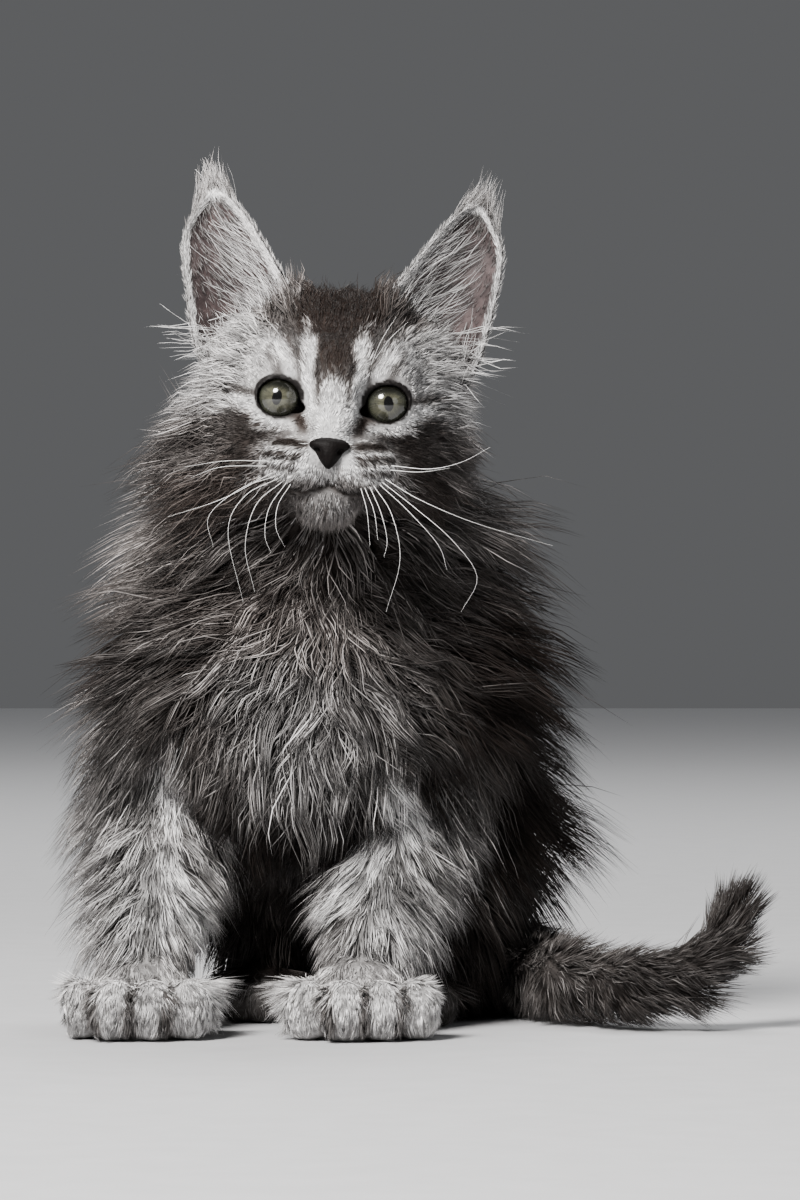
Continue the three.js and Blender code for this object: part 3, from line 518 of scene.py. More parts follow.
def light_bands(p, pale, brown):
    """Adds the bands at points p, which are where the hair shows and not where it is rooted."""
    front = smooth_step(p[:, 1], 26, 12)
    wobble = drift(p, 9, 6)
    for line, half, to_pale in BANDS:
        d = from_line(p[:, 0], p[:, 2], line) + 1.2 * wobble
        w = front * smooth_step(d, half * 1.5, half * 0.5)
        pale = pale + (to_pale - pale) * w
        brown = brown * (1 - 0.8 * w)
    return pale, brown


def trunk_marks(p):
    """A smoky ground with faint bars, a lighter bib, and painted shade on the cat's left side and belly."""
    x, y, z = p.T
    collar = smooth_step(z, 126, 146)
    pale = 0.15 + 0.21 * collar + 0.07 * drift(p, 26, 3) + 0.06 * drift(p, 11, 11)
    brown = 0.45 + 0.2 * drift(p, 40, 7)
    bars = np.sin(z / 7.5 + 0.9 * drift(p, 45, 5) * 3)
    pale += 0.04 * bars
    front = smooth_step(y, 10, -28)
    middle = np.exp(-((x + 6) / 19) ** 2)
    bib = front * middle * smooth_step(z, 134, 116) * smooth_step(z, 76, 96)
    pale += (0.27 - pale) * bib * 0.85
    brown *= 1 - 0.7 * bib
    mid_chest = smooth_step(np.abs(x - 2), 40, 18)
    arch = front * np.exp(-((z - 148 + 0.006 * (x - 2) ** 2) / 13) ** 2) * mid_chest
    pale *= 1 - 0.85 * arch
    # Painted shade: low on the front, between the forelegs, the coat is darkened almost to black.
    belly = front * smooth_step(z, 94, 76)
    pale += (0.03 - pale) * belly
    back = smooth_step(y, 15, 60)
    pale += (0.25 + 0.08 * bars - pale) * back * 0.7
    brown += (0.6 - brown) * back * 0.7
    # Painted shade: the cat's left side, away from the key lamp, is darkened, and made browner.
    left = smooth_step(x, 12, 46)
    pale += (0.01 + 0.12 * collar - pale) * left * 0.9
    brown += (0.65 - brown) * left * 0.6
    return pale, brown


def side_of(name):
    return -1 if name.endswith("right") else 1


def foreleg_marks(q, side, pale, brown):
    """Silver with soft bars, palest down the front, fading into the trunk above."""
    shoulder, elbow, wrist = ARM[side]
    axis_x = np.interp(q[:, 2], [25, 70, 100], [wrist[0], elbow[0], shoulder[0]])
    centre = np.exp(-((q[:, 0] - axis_x + side * -2) / 9) ** 2) * smooth_step(q[:, 1], 10, -20)
    bar = np.sin(q[:, 2] / 4.6 + 1.2 * drift(q, 30, 4))
    # The cat's left foreleg is a little darker: painted shade on the side away from the key lamp.
    on_leg = 0.46 + 0.10 * bar + 0.12 * centre + 0.08 * drift(q, 9, 1) - 0.04 * (side > 0)
    low = smooth_step(q[:, 2], 114, 66)
    return pale + (on_leg - pale) * low, brown + (0.25 - 0.2 * centre - brown) * low


def toe_gap(across):
    """Distance to the nearest gap between the toes."""
    return np.min([np.abs(across - gap) for gap in TOE_GAPS], axis=0)


def forepaw_marks(q, name):
    """White toes with narrow painted shadows between them, greyer on the instep."""
    centre, turn = PAWS[name][:2]
    gap = toe_gap((q[:, 0] - centre[0]) * math.cos(turn) + (q[:, 1] - centre[1]) * math.sin(turn))
    gap_shadow = smooth_step(gap, 2.2, 0.5) * smooth_step(centre[1] - q[:, 1], 4, 12)
    top = smooth_step(q[:, 1] - centre[1], -9, 2) * smooth_step(q[:, 2], 10, 18)
    pale = 0.97 + 0.16 * drift(q, 8, 2) + 0.10 * drift(q, 3, 9) - 0.25 * top
    return pale * (1 - 0.65 * gap_shadow), 0.06 + 0.3 * gap_shadow + 0.1 * top


def body_pattern(p, part):
    """part: the index of the nearest limb in LIMB_NAMES, for each point."""
    pale, brown = trunk_marks(p)
    for i, name in enumerate(LIMB_NAMES):
        here = part == i
        if not here.any():
            continue
        q = p[here]
        if name.startswith("foreleg"):
            pale[here], brown[here] = foreleg_marks(q, side_of(name), pale[here], brown[here])
        elif name.startswith("forepaw"):
            pale[here], brown[here] = forepaw_marks(q, name)
        elif name.startswith("hindpaw"):
            pale[here] = 0.30 + 0.10 * drift(q, 10, 2)
            brown[here] = 0.3
        elif name == "tail":
            pale[here] = 0.23 + 0.08 * drift(q, 18, 2) - 0.14 * smooth_step(q[:, 2], 18, 34)
            brown[here] = 0.4
        elif name.startswith("hindleg"):
            pale[here] = 0.13 + 0.06 * drift(q, 16, 2)
            brown[here] = 0.5
    return np.clip(pale, 0, 1), np.clip(brown, 0, 1)


def pattern(p):
    """How pale and how brown the coat is at each point, and the index of its limb."""
    found = limb_distances(p)
    part = np.argmin(np.stack(list(found.values())), axis=0)
    pale, brown = body_pattern(p, part)
    face_pale, face_brown = face_pattern(p)
    w = smooth_step(found["head"] - found["neck"], 5, -5) * (part < 2)
    w = np.where(part == 0, np.maximum(w, 0.5), w)
    return pale + (face_pale - pale) * w, brown + (face_brown - brown) * w, part


# Skin's own finish. Thin, dark skin with the fine flat underfur on it. It shows bare only at the rims
# of the lids, the lips and inside the ears.
class Wire:
    """One socket of a material. Its operators add Math nodes to the material."""

    def __init__(self, tree, socket=None):
        self.tree, self.socket = tree, socket

    def add(self, kind, settings=(), inputs=(), output=0):
        node = self.tree.nodes.new(kind)
        for name, value in dict(settings).items():
            if name == "stops":
                ramp = node.color_ramp
                while len(ramp.elements) < len(value):
                    ramp.elements.new(1.0)
                for stop, (at, colour) in zip(ramp.elements, value):
                    stop.position, stop.color = at, colour
            else:
                setattr(node, name, value)
        for key, value in dict(inputs).items():
            if isinstance(value, Wire):
                self.tree.links.new(value.socket, node.inputs[key])
            else:
                node.inputs[key].default_value = value
        return Wire(self.tree, node.outputs[output])

    def maths(self, operation, a, b=0.0):
        return self.add("ShaderNodeMath", {"operation": operation}, {0: a, 1: b})

    def __add__(self, other):
        return self.maths("ADD", self, other)

    def __sub__(self, other):
        return self.maths("SUBTRACT", self, other)

    def __rsub__(self, other):
        return self.maths("SUBTRACT", other, self)

    def __mul__(self, other):
        return self.maths("MULTIPLY", self, other)

    def __truediv__(self, other):
        return self.maths("DIVIDE", self, other)

    def __pow__(self, other):
        return self.maths("POWER", self, other)

    __radd__, __rmul__ = __add__, __mul__

    def between(self, low, high):
        """Rises smoothly from 0 to 1 while the value goes from low to high."""
        return self.add("ShaderNodeMapRange", {"interpolation_type": "SMOOTHSTEP"},
                        {0: self, 1: low, 2: high})

    def tint(self, low, high):
        """A colour from low to high as the value goes from 0 to 1."""
        return self.add("ShaderNodeMix", {"data_type": "RGBA"}, {0: self, 6: low, 7: high}, 2)

    def parts(self):
        """The three parts of a vector, each as a wire of its own."""
        split = self.add("ShaderNodeSeparateXYZ", (), {0: self})
        return [Wire(self.tree, socket) for socket in split.socket.node.outputs]

    def noise(self, scale, detail=2.0, roughness=0.5):
        """Noise over the place that this wire gives, from 0 to 1 and mostly near a half."""
        return self.add("ShaderNodeTexNoise", (), {
            "Vector": self, "Scale": scale, "Detail": detail, "Roughness": roughness})


SMOKE, SILVER = (0.007, 0.006, 0.0055, 1), (0.88, 0.87, 0.865, 1)  # cold hair, dark to pale
UMBER, FAWN = (0.012, 0.0068, 0.0048, 1), (0.52, 0.42, 0.37, 1)  # brown hair, dark to pale
RIM_DARK, RIM_LIGHT = (0.002, 0.0016, 0.0015, 1), (0.006, 0.0045, 0.004, 1)  # bare lids and lips


def finish_of(name, settings, connect):
    """A material with one Principled shader. connect(wire) gives what its varying sockets read."""
    material = bpy.data.materials.new(name)
    material.use_nodes = True
    tree = material.node_tree
    shader = next(n for n in tree.nodes if n.type == "BSDF_PRINCIPLED")
    for key, value in settings.items():
        shader.inputs[key].default_value = value
    for key, wire in connect(Wire(tree)).items():
        tree.links.new(wire.socket, shader.inputs[key])
    return material


def attribute(wire, name, output):
    return wire.add("ShaderNodeAttribute", {"attribute_name": name}, (), output)


AS_VECTOR, AS_NUMBER = 1, 2  # outputs of the Attribute node


def object_place(wire):
    return wire.add("ShaderNodeTexCoord", (), (), 3)


def coat_colour(pale, brown):
    """The colour of hair that is pale by one share and brown by another."""
    light = pale ** 1.8
    return brown.tint(light.tint(SMOKE, SILVER), light.tint(UMBER, FAWN))


def skin_nodes(wire):
    pale, brown, bare = attribute(wire, "marks", AS_VECTOR).parts()
    place = object_place(wire)
    fuzz, patch = place.noise(900.0, 3.0), place.noise(140.0)
    fur = coat_colour(pale * (0.22 + 0.5 * fuzz + 0.2 * patch), brown)
    colour = bare.tint(fur, patch.tint(RIM_DARK, RIM_LIGHT))
    bump = wire.add("ShaderNodeBump", (), {"Strength": 0.5, "Distance": 0.0006, "Height": fuzz})
    return {"Base Color": colour, "Roughness": 0.85 - 0.25 * bare, "Normal": bump}


skin_finish = finish_of("skin_and_underfur", {"Specular IOR Level": 0.15}, skin_nodes)
skin = mesh_object("skin", skin_points, skin_quads)
skin_pale, skin_brown, skin_part = pattern(skin_points)
skin_pale, skin_brown = light_bands(skin_points, skin_pale, skin_brown)
skin_local = into_head(skin_points).astype(np.float32)


def rim_share(e):
    """How far out the bare black rim of the lids reaches, in shares of the opening: widest above."""
    return 1.10 + 0.15 * smooth_step(e[..., 1], -1.5, 3.5)


LIPS_END = -30  # the lips lie in front of this, in the head


def from_mouth(q):
    return from_line(np.abs(q[:, 0]), q[:, 2], [(m[0], m[2]) for m in MOUTH])


bare_lid = np.zeros(len(skin_points))
for side in (-1, 1):
    share, e = opening(skin_local, side)
    bare_lid = np.maximum(bare_lid, smooth_step(share - rim_share(e), 0.07, 0.0) * (e[:, 2] > 0))
bare_lips = smooth_step(from_mouth(skin_local), 0.6, 0.2) * (skin_local[:, 1] < LIPS_END)
skin_bare = np.where(skin_part == 0, np.maximum(bare_lid, bare_lips), 0)
store(skin, "marks", "FLOAT_VECTOR", np.stack([skin_pale, skin_brown, skin_bare], 1))
skin.data.materials.append(skin_finish)
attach(skin, "root")
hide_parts("head", "neck", "torso", "foreleg_right", "foreleg_left", "forepaw_right",
            "forepaw_left", "hindleg_right", "hindleg_left", "hindpaw_right", "hindpaw_left",
            "tail_root", "tail_middle", "tail_tip")


# Coat. Long soft hair over the whole cat, in closed, tapering slivers with a flat underside and a
# ridge, rooted in the skin and gathered into locks. It is shortest on the nose and feet and longest
# on the ruff, the bib, the flanks and behind the legs.
def quad_normals(points, quads):
    across = points[quads[:, 2]] - points[quads[:, 0]]
    return np.cross(across, points[quads[:, 3]] - points[quads[:, 1]])


def unit(v):
    return v / np.maximum(np.linalg.norm(v, axis=-1, keepdims=True), 1e-9)


def vertex_normals(points, quads):
    total = np.zeros(points.shape)
    normals = quad_normals(points, quads)
    for corner in range(4):
        np.add.at(total, quads[:, corner], normals)
    return unit(total)


def scatter(points, quads, density):
    """Random roots on a surface of quads: density per square millimetre, one value for each quad."""
    normals = vertex_normals(points, quads)
    area = np.linalg.norm(quad_normals(points, quads), axis=1) / 2
    wanted = area * density
    count = rng.poisson(wanted.sum())
    quad = rng.choice(len(quads), size=count, p=wanted / wanted.sum())
    s, t = rng.random((2, count, 1))
    a, b, c, d = (quads[quad][:, i] for i in range(4))
    share = [(1 - s) * (1 - t), s * (1 - t), s * t, (1 - s) * t]
    root = sum(w * points[k] for w, k in zip(share, (a, b, c, d)))
    return root, unit(sum(w * normals[k] for w, k in zip(share, (a, b, c, d))))


def flat_on(way, normal):
    return unit(way - (way * normal).sum(1, keepdims=True) * normal)


HAIR_FROM = np.array([0, -44, -12.0])  # the face's hair runs away from here, over the nose


def head_hair(p, n):
    """Hair of the head runs away from the nose: up the brow, outwards over the cheeks, down the chin."""
    q = into_head(p)
    m = n @ head_turn
    x, y, z = np.abs(q[:, 0]), q[:, 1], q[:, 2]
    way = q - HAIR_FROM
    r = np.linalg.norm(way, axis=1)
    way = unit(way)
    side = smooth_step(x, 17, 28) * smooth_step(y, -24, -6)
    jowl = smooth_step(x, 10, 20) * smooth_step(z, -17, -26) * smooth_step(y, -30, -18)
    way[:, 2] -= 0.35 * side + 0.9 * smooth_step(y, 14, 34) + 0.3 * jowl
    way[:, 0] += np.sign(q[:, 0]) * (0.5 * side + 0.5 * jowl)
    pad = smooth_step(r, 26, 12) * smooth_step(z, -11, -16)
    way[:, 2] -= 0.5 * pad
    way[:, 1] += 0.4 * pad
    near_eye = np.zeros(len(q))
    for eye_side in (-1, 1):
        share, e = opening(q.astype(np.float32), eye_side)
        in_front = e[:, 2] > 0
        near_eye = np.maximum(near_eye, smooth_step(share, 1.7, 1.2) * in_front)
        out = q - EYE_AT * [eye_side, 1, 1]
        out[:, 1] = 0
        around = (smooth_step(share, 2.0, 1.2) * in_front)[:, None]
        way = way * (1 - around) + (unit(out) * 0.8 + way * 0.4) * around
    lie = flat_on(way, m)
    length = 2.6 + 3.4 * smooth_step(r, 14, 34) + 5.0 * smooth_step(r, 36, 60)
    length += 0.6 * pad
    length += 4.5 * smooth_step(z, -26, -36)
    on_right = smooth_step(-q[:, 0], 0, 20)
    right_cheek = on_right * (smooth_step(z, 12, -4) + smooth_step(z, -4, -16))
    length += side * smooth_step(z, 32, 16) * (9 + 6 * smooth_step(z, 10, -6) + 11 * right_cheek)
    length += 5 * side * on_right * smooth_step(z, 20, 28) * smooth_step(z, 36, 30)
    length += jowl * (9 + 5 * right_cheek) * (1 - side)
    length += 6 * smooth_step(y, 14, 30)
    length *= 1 - 0.5 * near_eye
    wisps = np.exp(-((x - 14) / 5) ** 2) * smooth_step(z, 20, 27)
    length += 6 * wisps + 2.5 * smooth_step(z, 18, 27)
    lift = 13 + 10 * smooth_step(r, 34, 60) + (24 + 10 * right_cheek) * side
    lift = lift + 6 * pad + 16 * jowl * (1 - side)
    lift = lift * (1 - 0.5 * near_eye) + 26 * wisps
    density = 4.6 - 1.4 * smooth_step(r, 26, 44) - 0.7 * side - 0.5 * jowl
    density = density * (1 - 0.6 * smooth_step(y, 8, 30))
    return lie @ head_turn.T, length, lift, 0.23 + 0.09 * smooth_step(r, 24, 56), density


# Heights, and the trunk's middle across there.
BODY_MIDDLE = ([0, 44, 76, 104, 140, 200], [16, 20, 8, -3, 1, 3])


def body_hair(p, n):
    """Hair of the neck and trunk hangs down and back, parts on the chest and stands out at the sides."""
    x, y, z = p.T
    beside = np.clip((x - np.interp(z, *BODY_MIDDLE)) / 34, -1, 1)
    front = smooth_step(-n[:, 1], -0.2, 0.5)
    sides = np.abs(n[:, 0]) ** 1.5
    high = smooth_step(z, 96, 124)
    parted = np.clip(1.9 * beside, -1, 1)
    way = np.stack([
        parted * (0.40 + 1.9 * high * front) + 0.45 * n[:, 0] * sides,
        0.30 - 0.42 * front + 0.1 * sides,
        -1 + 0.25 * high * sides,
    ], 1)
    bib = np.exp(-((x + 7) / 15) ** 2) * front
    low_bib = bib * smooth_step(z, 112, 98) * smooth_step(z, 66, 78)
    neck = smooth_step(z, 124, 146)
    left_flank = smooth_step(x, 18, 45) * smooth_step(z, 40, 70)
    right_neck = smooth_step(-x, 8, 30) * (0.7 * smooth_step(z, 96, 124) + 1.3 * smooth_step(z, 144, 162))
    length = 31 + (7 + 5 * neck + 19 * left_flank + 10 * right_neck) * sides + 5 * low_bib - 6 * bib * high
    length = length - 16 * smooth_step(z, 160, 172) * front * (1 - sides)
    length = length - 9 * smooth_step(z, 30, 10)
    legs = np.exp(-((x + 47) / 14) ** 2) + np.exp(-((x - 28) / 14) ** 2)
    over_leg = front * smooth_step(z, 106, 92) * legs
    shoulder = smooth_step(-x, 30, 50) * np.exp(-((z - 106) / 16) ** 2)
    belly = front * smooth_step(z, 74, 56)
    length = length - 13 * over_leg - 5 * shoulder - 12 * belly
    lift = 18 + (32 + 14 * neck + 8 * left_flank) * sides + 6 * high * (1 - bib)
    lift = lift - 6 * low_bib - 6 * over_leg
    density = 1.0 - 0.45 * smooth_step(y, 20, 70) - 0.2 * smooth_step(z, 40, 20) + 0.25 * neck
    return flat_on(way, n), length, lift, np.full(len(p), 0.42), density


def arm_middle(p, side):
    """The foreleg's middle at the height of each point: its place across, and its place along."""
    shoulder, elbow, wrist = ARM[side]
    heights = [wrist[2], elbow[2], shoulder[2]]
    return [np.interp(p[:, 2], heights, [wrist[i], elbow[i], shoulder[i]]) for i in range(2)]


def arm_hair(p, n, side):
    """Hair of the foreleg hangs, fans out to both sides and is longest behind and outside."""
    beside = np.clip((p[:, 0] - arm_middle(p, side)[0]) / 13, -1, 1)
    behind = smooth_step(n[:, 1], -0.2, 0.6)
    outer = np.clip(beside * side, 0, 1)
    low = smooth_step(p[:, 2], 46, 24)
    way = np.stack([0.85 * beside, 0.1 + 0.3 * behind - 0.75 * low * (1 - behind), -np.ones(len(p))], 1)
    inner = np.clip(-beside * side, 0, 1) * smooth_step(p[:, 2], 34, 56)
    length = (13 + 9 * np.abs(beside) + 11 * outer + 7 * inner + 9 * behind) * (1 - 0.22 * low)
    lift = 15 + 20 * np.abs(beside) + 8 * behind + 6 * outer - 8 * low
    return flat_on(way, n), length, lift, np.full(len(p), 0.34), 1.35 - 0.6 * behind


def in_paw(p, name):
    """Points from the middle of a paw's sole, in sizes of a forepaw."""
    return (p - np.array(PAWS[name][0])) / PAWS[name][3]


def paw_hair(p, n, name):
    """Short hair that runs forwards over the toes, longer on the instep, the flank and between toes."""
    centre, turn, dewclaw, scale = PAWS[name]
    toe_tip = smooth_step(centre[1] - p[:, 1], 6 * scale, 20 * scale)
    q = in_paw(p, name)
    instep = smooth_step(q[:, 1], -12, 2) * smooth_step(q[:, 2], 12, 18)
    flank = smooth_step(q[:, 0] * dewclaw, 11, 16) * smooth_step(q[:, 1], -10, -2)
    way = np.stack([q[:, 0] * 0.02 + 1.3 * dewclaw * flank, -np.ones(len(p)), -1.0 - 0.8 * toe_tip], 1)
    gap = toe_gap(q[:, 0] * math.cos(turn) + q[:, 1] * math.sin(turn))
    between = smooth_step(gap, 3.0, 0.6) * smooth_step(q[:, 1], -6, -14)
    length = (6.6 - 0.8 * toe_tip + 3.5 * between + 6 * instep + 4 * flank) * (0.55 + 0.45 * scale)
    lift = 10.0 + 10 * between + 6 * flank
    up = smooth_step(n[:, 2], -0.5, -0.1)
    density = (2.9 + 0.8 * between - 0.8 * instep) * up * (0.3 + 0.7 * (scale > 0.9))
    return flat_on(way, n), length, lift, np.full(len(p), 0.25), density


def hind_hair(p, n):
    """Long, sparse hair that hangs over the folded hind leg, short at the foot."""
    count = len(p)
    way = np.stack([0.35 * n[:, 0], np.full(count, 0.25), -np.ones(count)], 1)
    length = 26 - 14 * smooth_step(p[:, 2], 26, 8)
    lift = 22 + 8 * np.abs(n[:, 0])
    return flat_on(way, n), length, lift, np.full(count, 0.5), np.full(count, 0.55)


tail_steps = np.linalg.norm(np.diff(TAIL_WAY, axis=0), axis=1)
tail_along = np.concatenate([[0], np.cumsum(tail_steps)])
TAIL_LONG = tail_along[-1]


def on_tail(p):
    """For each point the nearest point of the tail's middle, the way it runs and how far along it is."""
    best = np.full(len(p), 1e9)
    middle, way, along = np.zeros(p.shape), np.zeros(p.shape), np.zeros(len(p))
    for i in range(len(TAIL_WAY) - 1):
        a, axis = TAIL_WAY[i], TAIL_WAY[i + 1] - TAIL_WAY[i]
        t = np.clip((p - a) @ axis / (axis @ axis), 0, 1)
        c = a + t[:, None] * axis
        d = np.linalg.norm(p - c, axis=1)
        near = d < best
        best[near], middle[near], along[near] = d[near], c[near], tail_along[i] + t[near] * tail_steps[i]
        way[near] = axis / tail_steps[i]
    return middle, way, along


def tail_hair(p, n):
    """Hair of the tail runs to its tip, hangs below it and stands out at the tip."""
    way, along = on_tail(p)[1:]
    tip = smooth_step(along, TAIL_LONG - 30, TAIL_LONG)
    corner = (smooth_step(p[:, 1], 40, 20) * smooth_step(p[:, 0], 96, 84))[:, None]
    way = way * (1 - corner) + np.array([1.0, 0.0, -0.1]) * corner
    way = way + np.array([0.05, -0.1, -0.45]) * (1 - tip)[:, None]
    under = smooth_step(p[:, 2], 16, 9)
    length = 15 - 2 * tip + 5 * under * smooth_step(-n[:, 1], -0.2, 0.5)
    lift = 26 + 16 * tip + 10 * under
    return flat_on(way, n), length, lift, np.full(len(p), 0.28), 1.6 + 0.6 * tip


def groom(p, n, part):
    """Lie, length, lift in degrees, width and density of the hair at each point of the skin."""
    lie, length, lift, width, density = body_hair(p, n)
    for i, name in enumerate(LIMB_NAMES):
        here = part == i
        if name in ("neck", "torso") or not here.any():
            continue
        if name == "head":
            found = head_hair(p[here], n[here])
        elif name.startswith("foreleg"):
            found = arm_hair(p[here], n[here], side_of(name))
        elif name.startswith("hindleg"):
            found = hind_hair(p[here], n[here])
        elif name == "tail":
            found = tail_hair(p[here], n[here])
        else:
            found = paw_hair(p[here], n[here], name)
        lie[here], length[here], lift[here], width[here], density[here] = found
    return lie, length, lift, width, density


def grow(root, n, lie, length, lift, settle, fall, wave, phase, steps):
    """The middle line of each tuft, from a point sunk in the skin to the tip."""
    across = unit(np.cross(n, lie))
    p = root - n * np.minimum(0.8 + 0.03 * length, 2)[:, None]
    line = [p]
    for i in range(steps):
        t = (i + 0.5) / steps
        angle = np.radians(lift * (1 - settle * t))[:, None]
        curl = (wave * np.sin(phase + 5.5 * t))[:, None]
        way = lie * np.cos(angle) + n * np.sin(angle) + across * curl
        way[:, 2] -= fall * t
        p = p + unit(way) * (length / steps)[:, None]
        line.append(p)
    return np.stack(line, 1)


def nearest(points, guides):
    """The index of the guide nearest to each point."""
    found = np.empty(len(points), int)
    square = (guides ** 2).sum(1)
    batch = 4000
    for i in range(0, len(points), batch):
        part = points[i:i + batch]
        found[i:i + batch] = np.argmin(square - 2 * part @ guides.T, axis=1)
    return found


CROP = 0.45  # share of its length that a tuft keeps where it grows into a crease


def lift_clear(line, room):
    """Moves the free points of each tuft out of the skin and off the floor, and crops it in a crease."""
    before = line[:, -1].copy()
    for k in range(1, line.shape[1]):
        p = line[:, k].astype(np.float32)
        d = skin_field(p)
        low = d < room * k
        if low.any():
            line[low, k] += slope(skin_field, p[low]) * (room * k - d[low])[:, None]
        line[:, k, 2] = np.maximum(line[:, k, 2], 0.5 + 0.3 * rng.random(len(line)))
    moved = np.linalg.norm(line[:, -1] - before, axis=1)
    creased = moved > 0.4 * np.linalg.norm(before - line[:, 0], axis=1)
    line[creased] = line[creased][:, :1] + (line[creased] - line[creased][:, :1]) * CROP
    return line


# How wide a tuft is at each of its rings, by their number.
RING_WIDTH = {
    1: (1.0,), 2: (1.0, 0.72), 3: (0.8, 1.0, 0.66), 4: (0.75, 1.0, 0.9, 0.6), 5: (0.7, 1, 1, 0.85, 0.55),
}
UV_LONG, UV_WIDE = 0.003, 0.0015  # each tuft's patch of the flat unwrap


def tufts(name, line, n, width, pale, brown, tone, place, dark_root):
    """One mesh of many tufts. place: where each root lies on the flat unwrap of the skin."""
    count, k = line.shape[0], line.shape[1]
    rings = k - 2
    points = [line[:, 0]]
    along = [0.0]
    for i in range(1, k - 1):
        way = unit(line[:, i + 1] - line[:, i - 1])
        across = unit(np.cross(way, n))
        up = np.cross(across, way)
        half = (width * RING_WIDTH[rings][i - 1] / 2)[:, None]
        points += [line[:, i] + across * half, line[:, i] + up * half, line[:, i] - across * half]
        along += [i / (k - 1)] * 3
    points.append(line[:, -1])
    along.append(1.0)
    size = len(points)
    faces = [(0, 2, 1), (0, 3, 2), (0, 1, 3)]
    for i in range(rings - 1):
        a = 1 + 3 * i
        for j in range(3):
            b = a + (j + 1) % 3
            faces += [(a + j, b, b + 3), (a + j, b + 3, a + j + 3)]
    last = 1 + 3 * (rings - 1)
    faces += [(last + j, last + (j + 1) % 3, size - 1) for j in range(3)]
    points = np.stack(points, 1).reshape(-1, 3)
    faces = (np.array(faces)[None] + size * np.arange(count)[:, None, None]).reshape(-1, 3)
    piece = mesh_object(name, points, faces)
    along = np.array(along)
    # Each tuft darkens towards its root: partly the dark undercoat, partly painted shade of the coat's
    # depth.
    shade = pale[:, None] * (dark_root + (1 - dark_root) * smooth_step(along, 0.0, 0.75))
    hair = np.stack([shade, np.broadcast_to(brown[:, None], shade.shape),
                     np.broadcast_to(along, shade.shape)], -1)
    store(piece, "marks", "FLOAT_VECTOR", hair)
    store(piece, "tone", "FLOAT", np.repeat(tone, size))
    beside = np.array([0] + [-1, 0, 1] * rings + [0])
    patch = np.stack([UV_LONG * along, UV_WIDE * (1 + beside)], 1)
    unwrapped = (place[:, None] + patch[None]).reshape(-1, 2)
    layer = piece.data.uv_layers.new(name="OFBake")
    layer.data.foreach_set("uv", unwrapped[faces.ravel()].astype(np.float32).ravel())
    return piece


def coat_nodes(wire):
    pale, brown = attribute(wire, "marks", AS_VECTOR).parts()[:2]
    tone = attribute(wire, "tone", AS_NUMBER)
    patch = object_place(wire).noise(260.0, 1.0)
    level = pale * (0.50 + 0.95 * tone) * (0.80 + 0.40 * patch)
    return {"Base Color": coat_colour(level, brown), "Roughness": 0.52 - 0.12 * tone}


coat_finish = finish_of("long_soft_hair", {"Specular IOR Level": 0.13}, coat_nodes)

# Nothing grows where the head's skin and the body's lie under each other, on the soles, the bare rims
# of the lids and the lips, or under the nose leather. The marks are read a little way off each root,
# along the hair, so that their edges are ragged.
INSIDE = 0.8  # how far off the true surface a quad lies that is under the other skin
SOLE = 1.2
RAGGED = 0.35
middles = skin_points[skin_quads].mean(1)
quad_ups = unit(quad_normals(skin_points, skin_quads))
quad_depth = skin_field(middles.astype(np.float32))
quad_part = np.argmin(np.stack(list(limb_distances(middles).values())), axis=0)
quad_local = into_head(middles).astype(np.float32)
wanted = groom(middles, quad_ups, quad_part)[4]
wanted[np.abs(quad_depth) > INSIDE] = 0
wanted[middles[:, 2] < SOLE] = 0
for side in (-1, 1):
    share, e = opening(quad_local, side)
    wanted[(share < rim_share(e)) & (e[:, 2] > 0)] = 0
wanted[(from_mouth(quad_local) < 0.4) & (quad_local[:, 1] < LIPS_END)] = 0
across, along, up = np.abs(quad_local[:, 0]), quad_local[:, 1], quad_local[:, 2]
wanted[(across < 5.6) & (along < -44.5) & (np.abs(up + 15.5) < 3.5)] = 0
roots, ups = scatter(skin_points, skin_quads, wanted)
root_part = pattern(roots)[2]
lie, length, lift, width, density = groom(roots, ups, root_part)
slid = roots + lie * (rng.normal(0, RAGGED, len(roots)) * np.clip(length - 3.0, 0.2, 7))[:, None]
root_pale, root_brown = pattern(slid)[:2]

near_front = smooth_step(roots[:, 1], 5, -25)
curly = near_front * np.exp(-((roots[:, 0] + 5) / 24) ** 2) * smooth_step(roots[:, 2], 70, 100)
unruly = np.where(root_part == 0, 6.0, 9.0)  # degrees by which tufts stray sideways: less on the head
WILD = 0.03  # share of the tufts that stand out of their lock


